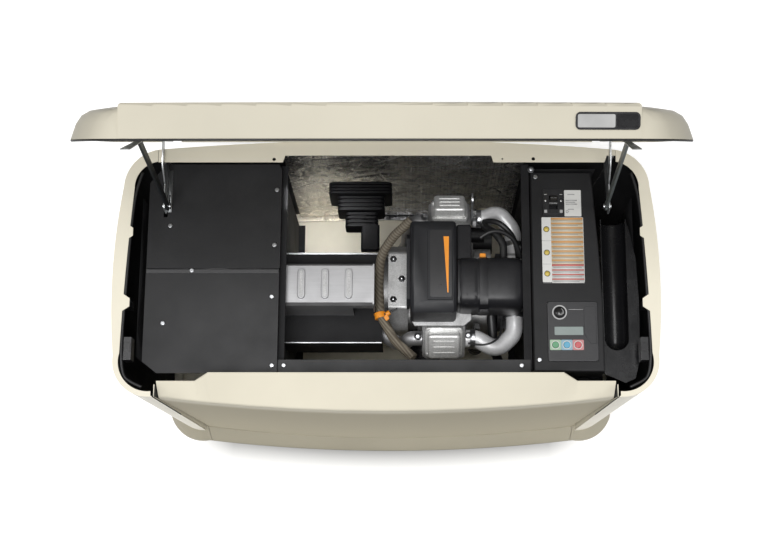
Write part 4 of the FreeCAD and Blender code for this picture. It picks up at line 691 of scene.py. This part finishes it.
# ---- seal along the wall flange, hooks, lock covers
for sx, nm in ((1, "right"), (-1, "left")):
    seal = [(sx * 0.549, 0.2225, 0.6555), (sx * 0.5625, 0.185, 0.6555), (sx * 0.570, 0.09, 0.6555), (sx * 0.5735, -0.01, 0.6555),
            (sx * 0.5775, -0.12, 0.6555), (sx * 0.5785, -0.19, 0.6555), (sx * 0.573, -0.235, 0.6555), (sx * 0.560, -0.2515, 0.6555), (sx * 0.530, -0.264, 0.6555)]
    tube("wall_seal_" + nm, seal, 0.0032, MAT["black_rubber"], step=0.004)
    spin("lock_cover_" + nm, [(0.0001, 0), (0.0150, 0), (0.0165, 0.001), (0.0165, 0.006), (0.0140, 0.0085), (0.0001, 0.0090)],
         (sx * 0.5920, -0.124, 0.520), (sx, 0, 0), MAT["lock_black"], n=40)
    # catch plate and keeper inside the wall
    x0, x1 = sorted((sx * 0.5560, sx * 0.5740))
    plate("catch_%s" % nm, round_rect(x0, -0.2050, x1, -0.1530, 0.0020), 0.6240, 0.6560, MAT["lock_black"], bevel=0.0012)
    plate("catch_step_%s" % nm, round_rect(x0 + 0.002, -0.1850, x1 - 0.002, -0.1660, 0.0015), 0.6560, 0.6585, MAT["lock_black"], bevel=0.0008)
    # screens behind the side louvres
    x0, x1 = sorted((sx * 0.5590, sx * 0.5602))
    plate("louvre_screen_%s" % nm, [(x0, -0.185), (x1, -0.185), (x1, 0.185), (x0, 0.185)], 0.340, 0.585, INNER, bevel=0.0)
for nm, x0, x1 in (("a", 0.336, 0.476), ("b", -0.490, -0.272)):
    plate("rear_screen_" + nm, [(x0, 0.2480), (x1, 0.2480), (x1, 0.2495), (x0, 0.2495)], 0.110, 0.600, INNER, bevel=0.0)
# raised bars on the heat shield, joint strip on the exhaust covers
for i, x in enumerate((-0.196, -0.142, -0.088)):
    plate("shield_bar_%d" % i, round_rect(x - 0.0085, -0.046, x + 0.0085, 0.024, 0.0084), 0.5585, 0.5622, MAT["aluminised"], bevel=0.0022, seg=4)
    plate("shield_bar_in_%d" % i, round_rect(x - 0.0040, -0.041, x + 0.0040, 0.019, 0.0039), 0.5620, 0.5630, MAT["cast_alloy"], bevel=0.0005, seg=2)
STRIP = powder("black_strip", (0.035, 0.035, 0.037), 0.36, spec=0.5)
plate("cover_joint_strip", [(-0.540, 0.0010), (-0.2430, 0.0010), (-0.2430, 0.0095), (-0.540, 0.0095)], 0.6101, 0.6116, STRIP, bevel=0.0006)
plate("cover_joint_line", [(-0.540, 0.0105), (-0.2430, 0.0105), (-0.2430, 0.0122), (-0.540, 0.0122)], 0.6101, 0.6104, DARK_LBL, bevel=0.0)
# rolled edges of the black shroud below the heat shield
plate("shroud_edge_front", [(-0.2440, -0.1262), (-0.0150, -0.1262), (-0.0150, -0.1238), (-0.2440, -0.1238)], 0.4401, 0.4412, MAT["zinc"], bevel=0.0004)
plate("shroud_edge_rear", [(-0.2440, 0.0885), (-0.0150, 0.0885), (-0.0150, 0.0925), (-0.2440, 0.0925)], 0.4401, 0.4412, MAT["zinc"], bevel=0.0004)
# smooth moulded dome over the air cleaner housing
prof_ = [(-0.070, 0.503), (-0.070, 0.560), (-0.062, 0.582), (-0.044, 0.592), (0.022, 0.592), (0.038, 0.584), (0.046, 0.564), (0.046, 0.503)]
for _ in range(3):
    q_ = [prof_[0]]
    for a_, b_ in zip(prof_, prof_[1:]):
        q_.append((a_[0] * 0.75 + b_[0] * 0.25, a_[1] * 0.75 + b_[1] * 0.25))
        q_.append((a_[0] * 0.25 + b_[0] * 0.75, a_[1] * 0.25 + b_[1] * 0.75))
    q_.append(prof_[-1])
    prof_ = q_
bm = bmesh.new()
rows_ = []
for x, k_ in ((0.1640, 0.99), (0.1660, 1.025), (0.1700, 1.040), (0.1800, 1.046), (0.1960, 1.048), (0.2020, 1.046), (0.2040, 1.034), (0.2060, 1.034),
              (0.2085, 1.046), (0.2300, 1.052), (0.2500, 1.060), (0.2700, 1.062), (0.2860, 1.056), (0.2960, 1.040), (0.3030, 1.010),
              (0.3075, 0.960), (0.3092, 0.900)):
    rows_.append([bm.verts.new((x, -0.012 + (y_ + 0.012) * k_, 0.503 + (z_ - 0.503) * (1 + (k_ - 1) * 0.8))) for y_, z_ in prof_])
for r0_, r1_ in zip(rows_, rows_[1:]):
    for i in range(len(prof_) - 1):
        bm.faces.new((r0_[i], r0_[i + 1], r1_[i + 1], r1_[i]))
    bm.faces.new((r0_[-1], r0_[0], r1_[0], r1_[-1]))
bm.faces.new(rows_[0])
bm.faces.new(rows_[-1])
from_bm("air_cleaner_dome", bm, N["air_cleaner"].data.materials[0], "cabinet", True, 0.0)
# slotted rail under the lower end of the left lid stay
plate("stay_rail_left", round_rect(-0.4998, 0.143, -0.4892, 0.243, 0.002), 0.6101, 0.61025, MAT["galvanised"], bevel=0.0)
plate("stay_rail_slot_left", round_rect(-0.4958, 0.150, -0.4932, 0.185, 0.0012), 0.61027, 0.6103, DARK_LBL, bevel=0.0)
# hex bolts on the engine bay rim
for i, (x, y, z) in enumerate(((0.3275, 0.2415, 0.6205),)):
    spin("rim_bolt_%d" % i, [(0.0001, 0), (0.0085, 0), (0.0085, 0.0014), (0.0062, 0.0016), (0.0062, 0.0066), (0.0052, 0.0076), (0.0001, 0.0076)], (x, y, z), (0, 0, 1), MAT["zinc"], n=6)

ARM = []
# ---- lid badge and rim seal, drawn closed and turned open
HY, HZ = 0.300, 0.6796
TURN = Matrix.Translation((0, HY, HZ)) @ Matrix.Rotation(math.radians(-71.35), 4, "X") @ Matrix.Translation((0, -HY, -HZ))
BACK = TURN.inverted()
bco = np.array([list(BACK @ v.co) for v in N["lid_badge"].data.vertices])
cx, cz = bco[:, 0].mean(), bco[:, 2].mean()
A_ = np.c_[np.ones(len(bco)), bco[:, 0] - cx, bco[:, 2] - cz]
co_, *_ = np.linalg.lstsq(A_, bco[:, 1], rcond=None)
res = bco[:, 1] - A_ @ co_
front = res < np.median(res)
co_, *_ = np.linalg.lstsq(A_[front], bco[front, 1], rcond=None)
badge_lo, badge_hi = bco.min(0), bco.max(0)


def on_badge(name, pts, d0, d1, mat, bevel=0.0004):
    """pts are (x, z) in the closed lid; d0 and d1 are heights out of the badge face"""
    bm = bmesh.new()
    n_ = Vector((co_[1], -1, co_[2])).normalized()
    rows_ = []
    for d in (d0, d1):
        rows_.append([bm.verts.new(TURN @ (Vector((x, co_[0] + co_[1] * (x - cx) + co_[2] * (z - cz), z)) + n_ * d)) for x, z in pts])
    bm.faces.new(rows_[0])
    bm.faces.new(rows_[1])
    k_ = len(pts)
    for i in range(k_):
        bm.faces.new((rows_[0][i], rows_[0][(i + 1) % k_], rows_[1][(i + 1) % k_], rows_[1][i]))
    return from_bm(name, bm, mat, "lid", True, bevel, 2)


seal_pts = [(-0.596, -0.150), (-0.578, -0.192), (-0.533, -0.264), (-0.514, -0.281), (-0.488, -0.292), (-0.24, -0.3125), (0.0, -0.3225),
            (0.24, -0.3125), (0.488, -0.292), (0.514, -0.281), (0.533, -0.264), (0.578, -0.192), (0.596, -0.150)]
tube("lid_rim_seal", [tuple(TURN @ Vector((x, y, 0.6655))) for x, y in seal_pts], 0.0026, MAT["black_rubber"], "lid", step=0.006)
lb = np.array([list(v.co) for v in N["lid_brackets"].data.vertices])
RAILM = MAT["galvanised"]
for sx, nm in ((1, "right"), (-1, "left")):
    vv = lb[(lb[:, 0] * sx) > 0]
    bm = bmesh.new()
    rows_ = []
    zs = np.linspace(0.80, 1.16, 7)
    for z in zs:
        sel = vv[np.abs(vv[:, 2] - z) < 0.05]
        yf = float(np.interp(z, [vv[:, 2].min(), vv[:, 2].max()], [0.300, 0.300])) if len(sel) == 0 else float(sel[:, 1].min())
        f = (z - zs[0]) / (zs[-1] - zs[0])
        wd_ = 0.005 + 0.014 * f
        rows_.append((yf, z, wd_))
    ys = np.polyval(np.polyfit([r_[1] for r_ in rows_], [r_[0] for r_ in rows_], 1), [r_[1] for r_ in rows_])
    ARM.append([round(float(v), 4) for v in ys])
    a_, b_ = [], []
    for (yf, z, wd_), y in zip(rows_, ys):
        for d_, acc in ((0.0, a_), (0.0025, b_)):
            acc.append((bm.verts.new((sx * 0.4895, y + d_, z)), bm.verts.new((sx * (0.4895 - wd_), y + d_, z))))
    for k in range(len(a_) - 1):
        for acc in (a_, b_):
            bm.faces.new((acc[k][0], acc[k + 1][0], acc[k + 1][1], acc[k][1]))
        for e_ in (0, 1):
            bm.faces.new((a_[k][e_], a_[k + 1][e_], b_[k + 1][e_], b_[k][e_]))
    for k in (0, -1):
        bm.faces.new((a_[k][0], a_[k][1], b_[k][1], b_[k][0]))
    from_bm("lid_arm_flange_" + nm, bm, MAT["galvanised"], "lid", True, 0.0006, 2)
print("ARM", ARM)
bx0, bx1, bz0, bz1 = badge_lo[0] + 0.004, badge_hi[0] - 0.004, badge_lo[2] + 0.004, badge_hi[2] - 0.004
bxm = bx0 + (bx1 - bx0) * 0.62
on_badge("badge_silver", round_rect(bx0, bz0, bxm, bz1, 0.003), 0.0001, 0.0010, plastic("badge_grey", (0.40, 0.40, 0.395), 0.4, 500, 0.08, spec=0.3))
on_badge("badge_gloss", round_rect(bxm + 0.0015, bz0, bx1, bz1, 0.003), 0.0001, 0.0012, MAT["gloss_black"])
# ------------------------------------------------------------------ stage and light
fl = bpy.data.meshes.new("floor")
bm = bmesh.new()
bmesh.ops.create_grid(bm, x_segments=8, y_segments=8, size=14)
bm.to_mesh(fl)
bm.free()
floor = bpy.data.objects.new("floor", fl)
bpy.context.collection.objects.link(floor)
floor.location = (0, 0, -0.0005)
fm = NT("floor_pale_painted_shadow")
sxyz = fm.new("ShaderNodeSeparateXYZ")
fm.link(fm.co.outputs["Object"], sxyz.inputs[0])
fy = fm.math("MULTIPLY", fm.maprange(sxyz.outputs[1], -1.05, -0.70, 0, 1), fm.maprange(sxyz.outputs[1], 2.2, 1.4, 0, 1))
fx = fm.math("MULTIPLY", fm.maprange(sxyz.outputs[0], -1.9, -1.2, 0, 1), fm.maprange(sxyz.outputs[0], 1.9, 1.2, 0, 1))
# painted contact shadow: a dark band on the floor just in front of the base, following its crowned front edge; it also
# dims the floor's emission there
x2 = fm.math("MULTIPLY", sxyz.outputs[0], sxyz.outputs[0])
yc = fm.math("SUBTRACT", sxyz.outputs[1], fm.math("MULTIPLY", x2, 0.16))
painted_contact_shadow = fm.math("MULTIPLY", fm.maprange(yc, -0.390, -0.318, 0, 1), fm.maprange(x2, 0.27, 0.17, 0, 1))
painted_contact_shadow = fm.math("MULTIPLY", painted_contact_shadow, fm.maprange(sxyz.outputs[1], 0.45, 0.30, 0, 1))
pale = fm.mix(fm.math("MULTIPLY", fx, fy), (0.30, 0.30, 0.30), (0.95, 0.95, 0.95))
pale = fm.mix(fm.math("MULTIPLY", painted_contact_shadow, 0.93), pale, (0.16, 0.16, 0.16))
fm.set(color=pale, rough=0.65, normal=fm.bump(fm.noise(6, 2), 0.02, 0.01))
for nd_ in fm.m.node_tree.nodes:
    if nd_.type == "BSDF_PRINCIPLED":
        fm.link(pale, nd_.inputs["Emission Color"])
        nd_.inputs["Emission Strength"].default_value = 0.22
floor.data.materials.append(fm.m)

w = bpy.data.worlds.new("studio")
bpy.context.scene.world = w
w.use_nodes = True
w.node_tree.nodes["Background"].inputs[0].default_value = (1, 1, 1, 1)
w.node_tree.nodes["Background"].inputs[1].default_value = 0.18


def area(name, loc, target, size, power, col=(1, 1, 1), sy=None):
    d = bpy.data.lights.new(name, "AREA")
    d.shape = "RECTANGLE"
    d.size = size
    d.size_y = sy or size
    d.energy = power
    d.color = col
    o = bpy.data.objects.new(name, d)
    o.location = loc
    o.rotation_euler = (Vector(target) - Vector(loc)).to_track_quat("-Z", "Y").to_euler()
    bpy.context.collection.objects.link(o)
    return o


area("key", (-1.0, -4.2, 11.2), (0, 0, 0.4), 6.0, 800, sy=4.0)
area("top", (-0.4, 0.0, 12.0), (0.0, 0.1, 0.4), 6.0, 420, sy=3.6)
area("side_l", (-7.5, 0.0, 6.5), (0, 0, 0.5), 2.6, 130)
area("side_r", (7.5, 0.0, 6.5), (0, 0, 0.5), 2.6, 150)
area("bay", (-0.150, 0.185, 0.600), (-0.150, 0.186, 0.10), 0.16, 0.26, sy=0.05).data.spread = 1.25
area("strip", (0.0, 0.090, 1.100), (0.0, 0.292, 0.66), 1.15, 0.07, sy=0.03).data.spread = 0.45

bpy.context.scene.view_settings.view_transform = "Standard"
bpy.context.scene.view_settings.look = "None"
